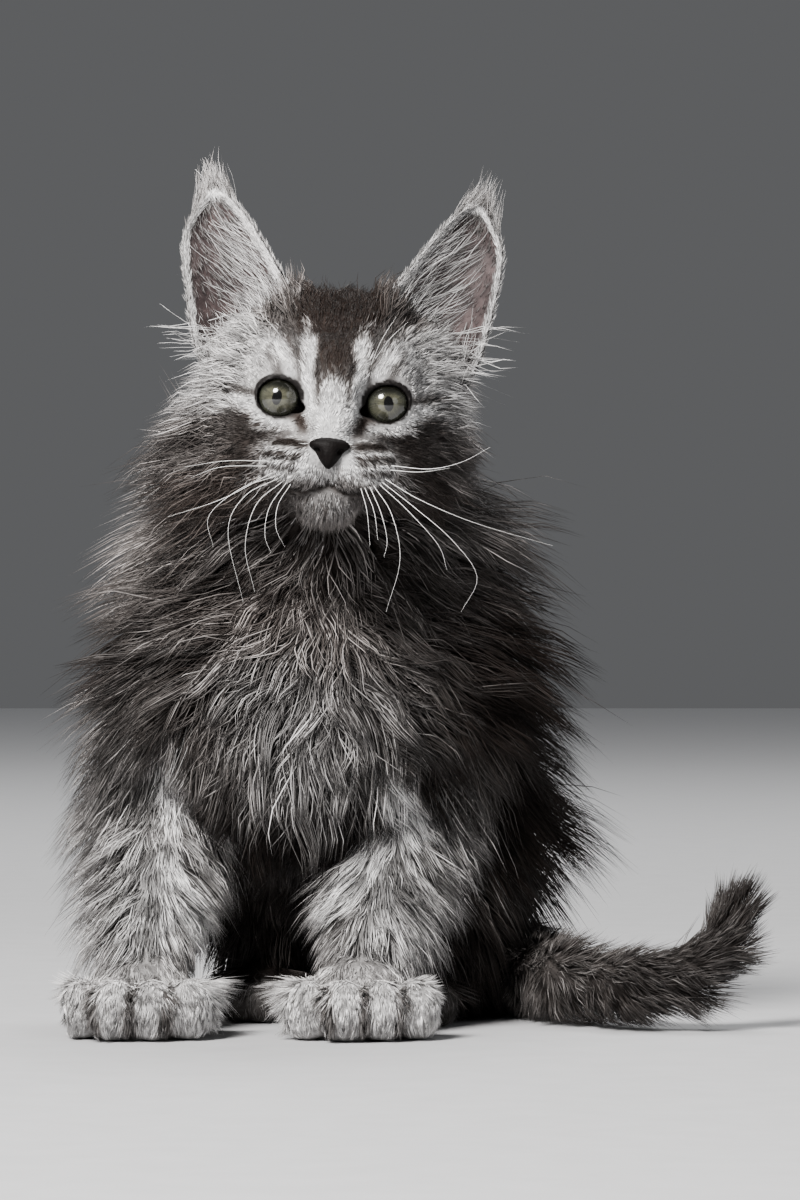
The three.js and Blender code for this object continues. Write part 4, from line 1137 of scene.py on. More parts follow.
def locks_of(chosen, per_lock, gather, steps, settle, fall, room, stretch=1.0, prop=0.0):
    """Tufts over the chosen roots, gathered towards every per_lock-th of them."""
    p, n, count = roots[chosen], ups[chosen], len(chosen)
    guides = rng.choice(count, max(count // per_lock, 1), replace=False)
    own = nearest(p, p[guides])
    many = len(guides)
    swing = np.radians(unruly[chosen] * (0.6 * rng.normal(size=count) + 1.1 * rng.normal(size=many)[own]))
    turned = lie[chosen] * np.cos(swing)[:, None] + np.cross(n, lie[chosen]) * np.sin(swing)[:, None]
    long = length[chosen] * rng.uniform(0.74, 1.14, count) * rng.uniform(0.84, 1.14, many)[own] * stretch
    raised = lift[chosen] * rng.uniform(0.85, 1.15, count) * rng.uniform(0.68, 1.30, many)[own] + prop
    wild = rng.random(count) < WILD
    raised = raised + wild * rng.uniform(5, 22, count)
    bend = rng.uniform(0.10, 0.40, many)[own] * smooth_step(length[chosen], 5, 20)
    wave = bend + 0.06 * rng.random(count) + 0.5 * curly[chosen] * rng.random(many)[own]
    phase = rng.uniform(0, 6.3, many)[own] + rng.normal(0, 0.5, count)
    line = grow(p, n, turned, long, raised, settle, fall, wave, phase, steps)
    lead = line[guides][own]
    span = np.linalg.norm(p - p[guides][own], axis=1)
    pull = gather * rng.uniform(0.55, 1.0, count) * (~wild) * smooth_step(span, 9, 4)
    for k in range(1, steps + 1):
        share = (pull * (k / steps) ** 1.1)[:, None]
        line[:, k] += (lead[:, k] - line[:, k]) * share
    mottle = 0.22 * rng.normal(size=count) + 0.26 * rng.normal(size=many)[own]
    tone = np.clip(0.5 + np.where(root_part[chosen] == 0, 0.75, 1.0) * mottle, 0, 1)
    return lift_clear(line, room), tone


BODY_DEPTH = ([0, 44, 104, 150, 200], [62, 60, 16, 4, -6])  # heights, and the trunk's middle along there
TRUNK_TALL, ARM_TALL = 215, 125  # heights that the flat unwraps of trunk and foreleg take in


def round_post(p, across, along, tall):
    """Turn about an upright middle and height up it, each from 0 to 1."""
    return np.stack([np.arctan2(p[:, 0] - across, -(p[:, 1] - along)) / (2 * math.pi) + 0.5,
                     p[:, 2] / tall], 1)


def round_body(p):
    return round_post(p, np.interp(p[:, 2], *BODY_MIDDLE), np.interp(p[:, 2], *BODY_DEPTH), TRUNK_TALL)


def round_arm(p, side):
    return round_post(p, *arm_middle(p, side), ARM_TALL)


def round_ball(q):
    """Turn about the upright axis and tilt above the level, each from 0 to 1."""
    return np.stack([np.arctan2(q[:, 0], -q[:, 1]) / (2 * math.pi) + 0.5,
                     np.arctan2(q[:, 2], np.hypot(q[:, 0], q[:, 1])) / math.pi + 0.5], 1)


def round_head(p):
    return round_ball(into_head(p))


PAW_CENTRE = [0, 0, 10]  # the middle of a forepaw, over its sole


def round_paw(p, name):
    return round_ball(in_paw(p, name) - PAW_CENTRE)


def round_tail(p):
    middle, way, along = on_tail(p)
    level = unit(np.cross(way, [0, 0, 1.0]))
    out = p - middle
    turn = np.arctan2(out[:, 2], (out * level).sum(1))
    return np.stack([along / TAIL_LONG, turn / (2 * math.pi) + 0.5], 1)


def dress(name, here, slot, unroll, per_lock, gather, steps, settle, fall, room, dark_root,
          stretch=1.0, prop=0.0, lighter=0.0):
    """One piece of the coat, over the roots in here. per_lock: tufts that run together into a lock, by
    the share gather. steps: joints of a tuft. settle: share of its lift that it loses to the tip. fall:
    how far it droops. room: its rise off the skin at each joint. dark_root: how pale its root stays; the
    dark root is partly the undercoat and partly painted shade. stretch, prop and lighter: more length,
    lift and silver."""
    chosen = np.flatnonzero(here)
    line, tone = locks_of(chosen, per_lock, gather, steps, settle, fall, room, stretch, prop)
    place = 0.004 + 0.99 * unroll(roots[chosen])
    pale, brown = root_pale[chosen], root_brown[chosen]
    if slot != "face_coat":
        pale, brown = light_bands(line[:, steps // 2 + 1], pale, brown)
    frosted = rng.random(len(chosen)) < 0.16 + 0.22 * curly[chosen]
    silver = frosted * (0.05 + 0.75 * pale + 0.10 * curly[chosen]) * smooth_step(length[chosen], 8, 16)
    silver = silver + lighter
    piece = tufts(name, line, ups[chosen], width[chosen] * rng.uniform(0.7, 1.25, len(chosen)),
                  np.clip(pale + silver, 0, 1), brown, tone, place, dark_root)
    piece.data.materials.append(coat_finish)
    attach(piece, "root")


# The coat's pieces: the head's, then the trunk's by height and by shares of a turn from the middle of
# the back over the cat's right, a top layer of bib locks, the legs', the feet's and the tail's.
SIDES = ((-1, "right"), (1, "left"))
LEVELS = (("ruff", 138, 999), ("chest", 88, 138), ("loin", 50, 88), ("rump", -9, 50))
BACK_TO, FRONT_FROM, FRONT_TO, BACK_FROM = 0.13, 0.42, 0.58, 0.87
QUARTERS = (("right", BACK_TO, FRONT_FROM), ("front", FRONT_FROM, FRONT_TO), ("left", FRONT_TO, BACK_FROM))
is_part = {name: root_part == i for i, name in enumerate(LIMB_NAMES)}
head_q = into_head(roots)
face = is_part["head"] & (head_q[:, 1] < -14)
crown = is_part["head"] & ~face
dress("hair_face", face, "face_coat", round_head, per_lock=6, gather=0.25, steps=2, settle=0.35, fall=0.05,
      room=0.2, dark_root=0.55)
close = length < 10
dress("hair_crown", crown & close, "face_coat", round_head, per_lock=7, gather=0.4, steps=2, settle=0.45,
      fall=0.1, room=0.3, dark_root=0.4)
for word, at_side in (("right", head_q[:, 0] < 0), ("left", head_q[:, 0] >= 0)):
    dress(f"hair_head_{word}", crown & ~close & at_side, "face_coat", round_head, per_lock=9, gather=0.5,
          steps=3, settle=0.45, fall=0.15, room=0.3, dark_root=0.4)
trunk = is_part["neck"] | is_part["torso"]
around = round_body(roots)[:, 0]
for level, low, high in LEVELS:
    at_level = trunk & (roots[:, 2] >= low) & (roots[:, 2] < high)
    for where, start, end in QUARTERS:
        here = at_level & (around >= start) & (around < end)
        if here.any():
            dress(f"hair_{level}_{where}", here, "long_coat", round_body, per_lock=14, gather=0.72,
                  steps=5 if where == "front" else 4, settle=0.45, fall=0.22, room=0.5, dark_root=0.35)
    behind = at_level & ((around < BACK_TO) | (around >= BACK_FROM))
    dress(f"hair_{level}_back", behind, "long_coat", round_body, per_lock=14, gather=0.7, steps=3,
          settle=0.45, fall=0.2, room=0.5, dark_root=0.3)
hangs = trunk & (np.abs(roots[:, 0] + 7) < 17) & (roots[:, 1] < 0) & (np.abs(roots[:, 2] - 101) < 15)
hangs &= rng.random(len(roots)) < 0.6
dress("hair_bib_locks", hangs, "long_coat", round_body, per_lock=26, gather=0.92, steps=6, settle=0.9,
      fall=0.5, room=0.9, dark_root=0.3, stretch=1.05, prop=16, lighter=0.08)
for side, word in SIDES:
    dress(f"hair_foreleg_{word}", is_part[f"foreleg_{word}"], "leg_coat", lambda p: round_arm(p, side),
          per_lock=10, gather=0.6, steps=3, settle=0.5, fall=0.2, room=0.4, dark_root=0.35)
    dress(f"hair_hindleg_{word}", is_part[f"hindleg_{word}"], "long_coat", round_body,
          per_lock=12, gather=0.6, steps=3, settle=0.5, fall=0.2, room=0.5, dark_root=0.3)
    for foot in (f"forepaw_{word}", f"hindpaw_{word}"):
        dress(f"hair_{foot}", is_part[foot], "paw_coat", lambda p: round_paw(p, foot),
              per_lock=9, gather=0.6, steps=2, settle=0.5, fall=0.1, room=0.25, dark_root=0.22)
dress("hair_tail", is_part["tail"], "long_coat", round_tail, per_lock=12, gather=0.25, steps=2,
      settle=0.35, fall=0.05, room=0.4, dark_root=0.4)


# Ears. Two tall cups of thin gristle and skin, open to the front, bare and grey-pink inside. White hair
# edges them, long white hairs cross the cup from its inner edge, and a tuft stands on each tip.
EAR_INNER = [(12, 3, 20), (14.5, 0.5, 31), (22, 0, 43.5), (29.6, 2.4, 54), (35.2, 5, 60)]
EAR_OUTER = [(36, 10, 0), (43, 3, 15), (46.8, 2.5, 32), (48.2, 4.2, 48), (43.8, 6.6, 58.6)]
EAR_CUP = 13.0  # depth of the cup at its foot
EAR_FLAT = 1.2  # depth left at the tip
EAR_ARCH = 2.0  # how far the rounded top stands over its corners
EAR_THICK = 1.8
EAR_ACROSS, EAR_UP = 26, 40  # faces of its mesh


def spline(points, t):
    """A smooth curve through points, at shares t of its way."""
    points = np.asarray(points, float)
    n = len(points) - 1
    padded = np.concatenate([[2 * points[0] - points[1]], points, [2 * points[-1] - points[-2]]])
    i = np.clip((np.asarray(t) * n).astype(int), 0, n - 1)
    s = (np.asarray(t) * n - i)[:, None]
    a, b, c, d = (padded[i + k] for k in range(4))
    return 0.5 * (2 * b + (c - a) * s + (2 * a - 5 * b + 4 * c - d) * s ** 2
                  + (3 * b - a - 3 * c + d) * s ** 3)


def ear_middle(side, u, v):
    """The middle of the ear's wall: u from the inner edge to the outer, v from the foot to the tip."""
    v = np.clip(v, 0, 1)
    cup = EAR_CUP * (1 - v) ** 0.8 + EAR_FLAT
    share = ((u + 1) / 2)[:, None]
    q = spline(EAR_INNER, v) * (1 - share) + spline(EAR_OUTER, v) * share
    q[:, 1] += cup * (1 - u * u)
    q[:, 2] += EAR_ARCH * (1 - u * u) * v ** 6
    q[:, 0] *= side
    return from_head(q)


def on_ear(side, u, v, front):
    """Points on the ear's front or back, with their normals and the ways across and up the ear."""
    step = 0.01
    p = ear_middle(side, u, v)
    across = unit(ear_middle(side, u + step, v) - ear_middle(side, u - step, v))
    up = unit(ear_middle(side, u, v + step) - ear_middle(side, u, v - step))
    n = unit(np.cross(across, up)) * side
    if not front:
        n = -n
    half = EAR_THICK / 2 * (1 - 0.45 * v) * np.sqrt(np.maximum(1 - np.abs(u) ** 6, 0.02))
    return p + n * half[:, None], n, across, up


def ear_mesh(side):
    """Points and faces of the cup, where each point lies on it, and how many of them are in front."""
    u, v = np.meshgrid(np.linspace(-1, 1, EAR_ACROSS + 1), np.linspace(0, 1, EAR_UP + 1))
    u, v = u.ravel(), v.ravel()
    front, back = on_ear(side, u, v, True)[0], on_ear(side, u, v, False)[0]
    row = EAR_ACROSS + 1
    n = len(u)
    faces = []
    for j in range(EAR_UP):
        for i in range(EAR_ACROSS):
            a, b, c, d = j * row + i, j * row + i + 1, (j + 1) * row + i + 1, (j + 1) * row + i
            faces += [(a, b, c, d), (n + a, n + d, n + c, n + b)]
    for i in range(EAR_ACROSS):
        top = EAR_UP * row + i
        faces += [(n + i, n + i + 1, i + 1, i), (top, top + 1, n + top + 1, n + top)]
    for j in range(EAR_UP):
        a, b = j * row, j * row + EAR_ACROSS
        faces += [(a, a + row, n + a + row, n + a), (n + b, n + b + row, b + row, b)]
    faces = np.array(faces)
    if side < 0:
        faces = faces[:, ::-1]
    return np.concatenate([front, back]), faces, np.tile(u, 2), np.tile(v, 2), n


FLESH_DARK, FLESH_LIGHT = (0.024, 0.017, 0.017, 1), (0.070, 0.050, 0.049, 1)  # bare inside of the ear


def ear_nodes(wire):
    pale, brown, bare = attribute(wire, "marks", AS_VECTOR).parts()
    veins = object_place(wire).noise(220.0, 4.0)
    flesh = veins.between(0.3, 0.75).tint(FLESH_DARK, FLESH_LIGHT)
    fur = coat_colour(pale * (0.6 + 0.6 * veins), brown)
    bump = wire.add("ShaderNodeBump", (), {"Strength": 0.4, "Distance": 0.0004, "Height": veins})
    return {"Base Color": bare.tint(fur, flesh), "Roughness": 0.75 - 0.2 * bare, "Normal": bump}


ear_finish = finish_of("ear_skin", {"Specular IOR Level": 0.3}, ear_nodes)


def spread(low, high, count):
    return rng.uniform(low, high, count)


def clear_of_ear(side, line, front):
    """Moves the free points of hairs that pass through the curved wall of the ear in front of it."""
    u, v = np.meshgrid(np.linspace(-1, 1, 41), np.linspace(0, 1, 61))
    wall, out = on_ear(side, u.ravel(), v.ravel(), front)[:2]
    for k in range(1, line.shape[1]):
        at = nearest(line[:, k], wall)
        away = line[:, k] - wall[at]
        d = (away * out[at]).sum(1)
        beside = np.sqrt(np.maximum((away ** 2).sum(1) - d * d, 0))
        room = 0.25 + 0.2 * k
        sunk = (d < room) & (d > -9) & (beside < 2.0)
        line[sunk, k] += out[at][sunk] * (room - d[sunk])[:, None]
    return line


def ear_patch(u, v, front):
    """Where a hair's root lies on the flat unwrap: the ear's front beside its back."""
    return np.stack([(u + 1) / 4 + (0 if front else 0.5), np.clip(v, 0, 1) * 0.98], 1)


def ear_hairs(side, u, v, front, steps, lean, length, lift, width, pale, brown,
              settle=0.3, wave=0.1, fall=0.1):
    """One kind of hair on an ear. The pairs are ranges. lean: degrees from up towards the outer edge."""
    count = len(u)
    p, n, across, up = on_ear(side, u, v, front)
    angle = np.radians(spread(*lean, count))[:, None]
    way = flat_on(up * np.cos(angle) + across * np.sin(angle), n)
    line = grow(p, n, way, spread(*length, count), spread(*lift, count), settle, fall,
                wave * rng.random(count), spread(0, 6.3, count), steps)
    line = clear_of_ear(side, line, front)
    return (line, n, spread(*width, count), spread(*pale, count), spread(*brown, count),
            ear_patch(u, v, front))


def joined(kinds):
    return [np.concatenate(column) for column in zip(*kinds)]


# The ear's inner and outer edge: side, hairs, width of their band, range of length, range of lean.
EDGES = ((-1, 2600, 0.055, (2.6, 5), (-26, 16)), (1, 1100, 0.03, (2, 4.5), (-20, 24)))


def short_ear_hair(side):
    """White fur along both edges, darker fur on the back, thin down inside and a pale rim on top."""
    kinds = []
    for edge, count, band, reach, lean in EDGES:
        u = edge * (1 - np.abs(rng.normal(0, band, count)))
        kinds.append(ear_hairs(
            side, u, spread(0.0, 0.97, count), True, 2, lean, length=reach,
            lift=(6, 34), width=(0.16, 0.26), pale=(0.40, 1.0), brown=(0, 0.1)))
        u = edge * (1 - np.abs(rng.normal(0, band, count // 2)))
        kinds.append(ear_hairs(
            side, u, spread(0.0, 0.97, count // 2), False, 2, lean, length=reach,
            lift=(8, 34), width=(0.2, 0.3), pale=(0.4, 0.95), brown=(0, 0.2)))
    count = 2500
    kinds.append(ear_hairs(
        side, spread(-0.98, 0.98, count), spread(0, 0.97, count), False, 2, lean=(-12, 12), length=(4, 7),
        lift=(14, 30), width=(0.34, 0.5), pale=(0.18, 0.5), brown=(0.3, 0.6)))
    count = 1000
    kinds.append(ear_hairs(
        side, spread(-0.96, 0.95, count), spread(0.03, 0.95, count), True, 2, lean=(5, 40), length=(3, 6),
        lift=(4, 14), width=(0.12, 0.18), pale=(0.15, 0.55), brown=(0.0, 0.4)))
    count = 420
    v = 1 - np.abs(rng.normal(0, 0.025, count))
    kinds.append(ear_hairs(
        side, spread(-0.95, 0.95, count), v, True, 2, lean=(-30, 30), length=(2, 4),
        lift=(10, 40), width=(0.16, 0.26), pale=(0.8, 1.0), brown=(0, 0)))
    return joined(kinds)


FLAME_TIP = {-1: (-42.3, 6, 70.8), 1: (44.2, 6, 69.8)}  # where the flames end, in the head
FLAME_STEPS = 4


def tip_tuft(side, front, count, lowest):
    """The flame over the rounded top: hairs rooted all round it that run together above it."""
    u, v = spread(-1, 1, count), spread(lowest, 1.0, count)
    p, n, across = on_ear(side, u, v, front)[:3]
    aim = from_head(FLAME_TIP[side]) + rng.normal(0, 2.2, (count, 3)) * [1, 1, 1.3] - p
    reach = spread(0.22, 1.04, count) * (1 - 0.2 * np.abs(u))
    t = np.linspace(0, 1, FLAME_STEPS + 1)[None, :, None] * reach[:, None, None]
    bulge = -0.10 * aim * [1, 1, 0]
    line = p[:, None] + aim[:, None] * t + bulge[:, None] * np.sin(math.pi * np.clip(t, 0, 1))
    curl = np.sin(spread(0, 6.3, count)[:, None, None] + 5 * t) * spread(0.3, 1.5, count)[:, None, None]
    line = line + across[:, None] * curl * t + n[:, None] * np.minimum(1.2 * t, 0.4)
    line[:, 0] = p - 0.4 * n
    return (line, n, spread(0.11, 0.19, count), spread(0.25, 1.0, count), spread(0, 0.4, count),
            ear_patch(u, v, front))


def long_ear_hair(side):
    """Long hairs that cross the cup from its inner edge, a dense tuft at its foot and one on its tip."""
    count = 230
    v = spread(0.04, 0.66, count)
    u = np.minimum(-1 + np.abs(rng.normal(0.1, 0.4, count)), 0.4)
    low = v < 0.35
    kinds = [
        ear_hairs(side, u[low], v[low], True, 4, lean=(14, 56), length=(15, 28), lift=(8, 26),
                  width=(0.12, 0.18), pale=(0.55, 1.0), brown=(0, 0.1), settle=0.7, wave=0.22, fall=0.0),
        ear_hairs(side, u[~low], v[~low], True, 4, lean=(4, 44), length=(9, 20), lift=(8, 26),
                  width=(0.10, 0.17), pale=(0.45, 1.0), brown=(0, 0.1), settle=0.7, wave=0.22, fall=0.0),
    ]
    count = 600
    kinds.append(ear_hairs(
        side, spread(-0.95, 0.9, count), np.abs(rng.normal(0.03, 0.07, count)), True, 4,
        lean=(-5, 45), length=(9, 20), lift=(12, 40), width=(0.2, 0.34), pale=(0.7, 1.0), brown=(0, 0.12),
        settle=0.5, wave=0.3, fall=0.0))
    count = 36
    kinds.append(ear_hairs(
        side, spread(-0.2, 0.8, count), spread(0.05, 0.3, count), True, 4,
        lean=(52, 78), length=(24, 34), lift=(10, 40), width=(0.16, 0.24), pale=(0.85, 1.0), brown=(0, 0),
        settle=0.4, wave=0.3, fall=0.0))
    kinds += [tip_tuft(side, True, 260, 0.96), tip_tuft(side, False, 560, 0.80)]
    return joined(kinds)


for side, word in SIDES:
    points, faces, u, v, half = ear_mesh(side)
    cup = mesh_object(f"ear_cup_{word}", points, faces)
    front = np.arange(len(points)) < half
    inside = front * smooth_step(np.abs(u), 1.0, 0.88) * smooth_step(v, 0.985, 0.93)
    inside *= smooth_step(v, 0.0, 0.08)
    edging = 0.52 - 0.18 * smooth_step(u, 0.86, 0.97)
    store(cup, "marks", "FLOAT_VECTOR", np.stack([
        np.where(front, edging, 0.2), np.where(front, 0.05, 0.5), inside], 1))
    cup.data.materials.append(ear_finish)
    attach(cup, "root")
    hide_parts(f"ear_{word}")
    for kind, make in (("short", short_ear_hair), ("long", long_ear_hair)):
        line, n, wide, pale, brown, place = make(side)
        tone = np.clip(rng.normal(0.55, 0.2, len(line)), 0, 1)
        # Painted shade: the hairs of the cat's left ear, away from the key lamp, are darkened, most of all
        # inside the cup.
        if side > 0:
            pale = pale * np.where(np.abs(place[:, 0] - 0.25) < 0.2, 0.72, 0.9)
        hair = tufts(f"hair_ear_{kind}_{word}", line, n, wide, pale, brown, tone, place, 0.8)
        hair.data.materials.append(coat_finish)
        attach(hair, "root")


# Eyes. Each eye is a whole ball in its socket, with a clear domed front over a grey-green iris, a dark
# rim round the iris and an upright oval pupil. Fine fibres run out from the pupil, and the shade of the
# upper lid is painted over the top of the iris.
IRIS = 6.3
DOME = 0.9  # how far the clear front stands over the ball
DOME_TILT, DOME_RINGS = 0.95, 29  # the dome's half angle, and its rings of faces
BACK_RINGS = 14
EYE_AROUND = 64
BEHIND_IRIS = 9  # what the ball's back half reads as its distance from the pupil


def eyeball():
    """The ball in the eye's own axes: its front pole first, then its rings, and its back pole last."""
    tilt = np.concatenate([np.linspace(0, DOME_TILT, DOME_RINGS + 1),
                           np.linspace(DOME_TILT, math.pi, BACK_RINGS + 1)[1:]])
    turn = np.linspace(0, 2 * math.pi, EYE_AROUND, endpoint=False)
    points = []
    for a in tilt[1:-1]:
        r = EYE_RADIUS + DOME * smooth_step(a, 0.86, 0.1)
        points.append(np.stack([r * math.sin(a) * np.cos(turn), r * math.sin(a) * np.sin(turn),
                                np.full(EYE_AROUND, r * math.cos(a))], 1))
    points = np.concatenate([[[0, 0, EYE_RADIUS + DOME]], *points, [[0, 0, -EYE_RADIUS]]])
    faces = []
    rings = len(tilt) - 2
    last = 1 + (rings - 1) * EYE_AROUND
    for j in range(EYE_AROUND):
        k = (j + 1) % EYE_AROUND
        faces.append((0, 1 + j, 1 + k))
        for i in range(rings - 1):
            a = 1 + i * EYE_AROUND
            b = a + EYE_AROUND
            faces.append((a + j, b + j, b + k, a + k))
        faces.append((last + j, len(points) - 1, last + k))
    return points, faces


# The iris from the pupil outwards, by shares of its radius: green-grey, then its dark rim.
IRIS_COLOURS = [
    (0.0, (0.070, 0.067, 0.045, 1)), (0.38, (0.064, 0.064, 0.046, 1)), (0.70, (0.042, 0.043, 0.034, 1)),
    (0.86, (0.024, 0.026, 0.019, 1)), (0.94, (0.003, 0.003, 0.003, 1)), (1.0, (0.002, 0.002, 0.002, 1)),
]
PUPIL = (0.24, 0.38)  # half width and half height, in shares of the iris
FLECK_DARK, FLECK_LIGHT = (0.42, 0.42, 0.42, 1), (1.6, 1.55, 1.35, 1)
LID_SHADOW, PUPIL_BLACK = (0.003, 0.003, 0.002, 1), (0.002, 0.002, 0.002, 1)


def eye_nodes(wire):
    gaze = attribute(wire, "gaze", AS_VECTOR)
    a, b = gaze.parts()[:2]
    flat = wire.add("ShaderNodeCombineXYZ", (), {0: a, 1: b})
    r = wire.add("ShaderNodeVectorMath", {"operation": "LENGTH"}, {0: flat}, 1)
    ray = wire.add("ShaderNodeVectorMath", {"operation": "NORMALIZE"}, {0: flat})
    ray = wire.add("ShaderNodeVectorMath", {"operation": "SCALE"}, {0: ray, "Scale": 9.0})
    ray = wire.add("ShaderNodeVectorMath", {"operation": "ADD"}, {
        0: ray, 1: wire.add("ShaderNodeCombineXYZ", (), {2: r * 1.6})})
    fibre, cloud = ray.noise(1.6, 5.0, 0.65), gaze.noise(2.2)
    # Painted shade of the upper lid: the iris's dark rim reaches further in at its top, and its upper part
    # is darkened to nearly black.
    outwards = r + 0.10 * (fibre - 0.5) + 0.16 * b.between(0.2, 1.0)
    iris = wire.add("ShaderNodeValToRGB", {"stops": IRIS_COLOURS}, {0: outwards})
    fleck = (fibre * 0.7 + cloud * 0.5).between(0.45, 0.85)
    lit = wire.add("ShaderNodeMix", {"data_type": "RGBA", "blend_type": "MULTIPLY"}, {
        0: 0.85, 6: iris, 7: fleck.tint(FLECK_DARK, FLECK_LIGHT)}, 2)
    lid_shade = 0.95 * b.between(0.18, 0.66)
    across, up = a / PUPIL[0], b / PUPIL[1]
    pupil = 1 - ((across * across + up * up) ** 0.5).between(0.88, 1.06)
    return {"Base Color": pupil.tint(lid_shade.tint(lit, LID_SHADOW), PUPIL_BLACK)}


eye_finish = finish_of("eye", {
    "Roughness": 0.12, "Specular IOR Level": 0.5,
    "Coat Weight": 1.0, "Coat Roughness": 0.02, "Coat IOR": 1.38,
}, eye_nodes)
local, faces = eyeball()
for side, word in SIDES:
    axes = eye_frame(side)
    outwards = [f[::-1] for f in faces] if np.linalg.det(axes) < 0 else faces
    mesh = bpy.data.meshes.new(f"eyeball_{word}")
    place = metres(from_head(local @ axes.T + EYE_AT * [side, 1, 1]))
    mesh.from_pydata([tuple(p) for p in place], [], outwards)
    mesh.polygons.foreach_set("use_smooth", np.ones(len(mesh.polygons), bool))
    ball = into_scene(f"eyeball_{word}", mesh)
    front = (local[:, 2] > 0)[:, None]
    flat = np.maximum(np.hypot(local[:, 0], local[:, 1]), 1e-6)[:, None]
    sideways = np.where(front, local[:, :2], local[:, :2] / flat * BEHIND_IRIS)
    gaze = np.concatenate([sideways, local[:, 2:]], 1) / IRIS
    store(ball, "gaze", "FLOAT_VECTOR", gaze)
    ball.data.materials.append(eye_finish)
    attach(ball, "root")
    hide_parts(f"eye_{word}")


# Nose. Its bare pad: nearly black, pebbled leather, wide at the top and drawn to a point over the
# groove of the lip, with a nostril curling in on either side.
def nose_field(p):
    q = grid_into_head(p)
    pad = blend([
        ellipsoid(q, (0, -45.6, -14.3), (6.1, 3.3, 2.3)),
        ellipsoid(q, (0, -46.1, -16.9), (3.4, 3.2, 2.8)),
        ellipsoid(q, (0, -46.2, -19.0), (1.3, 2.6, 2.3)),
    ], 2.4)
    for side in (-1, 1):
        hole = round_cone(q, (side * 2.7, -50.0, -17.0), (side * 3.6, -47.2, -15.9), 1.0, 0.9)
        slit = round_cone(q, (side * 3.4, -49.4, -16.2), (side * 5.8, -46.6, -15.6), 0.6, 0.45)
        pad = -soft_min(-pad, soft_min(hole, slit, 0.4), 0.5)
    groove = round_cone(q, (0, -50.2, -15.5), (0, -49.5, -21), 0.35, 0.3)
    return -soft_min(-pad, groove, 0.6)


LEATHER_DARK, LEATHER_LIGHT = (0.0014, 0.0011, 0.001, 1), (0.0045, 0.0032, 0.003, 1)
NOSE_CELL = 0.3


def nose_nodes(wire):
    place = object_place(wire)
    pebble = wire.add("ShaderNodeTexVoronoi", {"feature": "F1"}, {"Vector": place, "Scale": 1700.0})
    patch = place.noise(500.0, 3.0)
    bump = wire.add("ShaderNodeBump", {"invert": True}, {
        "Strength": 0.35, "Distance": 0.0002, "Height": pebble})
    return {"Base Color": patch.tint(LEATHER_DARK, LEATHER_LIGHT), "Roughness": 0.46 + 0.2 * patch,
            "Normal": bump}


nose_middle = from_head(NOSE_AT)
nose_points, nose_quads = surface(nose_field, nose_middle - [9, 8, 9], nose_middle + [9, 7, 8], NOSE_CELL)
nose = mesh_object("nose_leather", nose_points, nose_quads)
nose.data.materials.append(finish_of("nose_leather", {"Specular IOR Level": 0.07}, nose_nodes))
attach(nose, "root")
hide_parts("nose")


# Whiskers. Stiff white bristles from the rows of spots on the muzzle, most of them drooping in a
# curve, and a few short ones over the eyes. Each tapers from its root to a hair's end.
WHISKERS = [
    ((-15.1, -71, 173.2), (-27.7, -74, 173.1), (-40.2, -66, 171.5)),
    ((-15.4, -71, 171.7), (-28.6, -76, 171.3), (-38.2, -70, 168.2)),
    ((-13.9, -72, 169.6), (-28.5, -78, 161.8), (-44.8, -70, 156.6)),
    ((-12.7, -72, 168.7), (-23.1, -80, 164.7), (-32.3, -80, 156.7), (-31.1, -78, 147.6)),
    ((-11.8, -72, 168.1), (-21.7, -80, 162.6), (-26.6, -82, 152.0), (-22.2, -80, 131.4)),
    ((-10.6, -72, 167.2), (-18.4, -80, 160.0), (-21.5, -84, 147.6), (-18.7, -82, 134.4)),
    ((-9.7, -73, 166.6), (-14.5, -82, 159.1), (-15.7, -84, 151.1), (-13.9, -84, 145.8)),
    ((-8.5, -73, 166.0), (-11.9, -82, 159.9), (-12.4, -85, 153.1), (-9.8, -85, 147.6)),
    ((22.2, -71, 171.7), (32.9, -76, 170.7), (42.3, -74, 172.8), (50.7, -70, 177.3)),
    ((21.0, -71, 170.5), (29.9, -76, 169.8), (38.8, -74, 171.0)),
    ((19.6, -72, 167.8), (29.9, -80, 161.5), (46.1, -80, 154.7), (69.3, -72, 148.0)),
    ((18.7, -72, 166.9), (28.4, -82, 159.1), (39.3, -84, 149.6), (46.7, -82, 138.8), (42.0, -80, 128.5)),
    ((17.8, -72, 166.3), (26.1, -82, 158.5), (35.2, -84, 148.2), (37.8, -84, 140.8)),
    ((16.3, -73, 165.7), (21.6, -82, 157.0), (24.0, -85, 143.7), (19.9, -83, 128.5)),
    ((15.1, -73, 165.4), (18.4, -82, 157.6), (20.2, -84, 149.6), (19.3, -84, 144.6)),
    ((13.6, -73, 165.1), (16.4, -82, 157.9), (17.5, -85, 149.6)),
    ((12.5, -73, 164.8), (14.3, -82, 157.9), (15.2, -85, 147.9)),
    ((15.7, -63, 202.8), (18.4, -72, 208.7), (22.8, -72, 215.8)),
    ((17.2, -63, 204.6), (21.3, -72, 209.6), (26.4, -68, 214.5)),
    ((-8.4, -63, 205.8), (-11.8, -72, 210.7), (-16.0, -70, 215.6)),
    ((-10.0, -62, 204.4), (-14.5, -71, 207.8), (-19.9, -68, 210.3)),
]
WHISKER_STEPS = 22  # points along each
WHISKER_SUNK = 0.06  # share of its length that its root goes on into the skin
WHISKER_TIP = 0.18  # its thickness at the tip against the root
WHISKER_RADIUS = 0.000105  # in metres
WHISKER_SIDES = 5
lines = [spline(way, np.linspace(-WHISKER_SUNK, 1, WHISKER_STEPS)) for way in WHISKERS]
edges = [(i * WHISKER_STEPS + j, i * WHISKER_STEPS + j + 1)
         for i in range(len(WHISKERS)) for j in range(WHISKER_STEPS - 1)]
wires = bpy.data.meshes.new("whiskers")
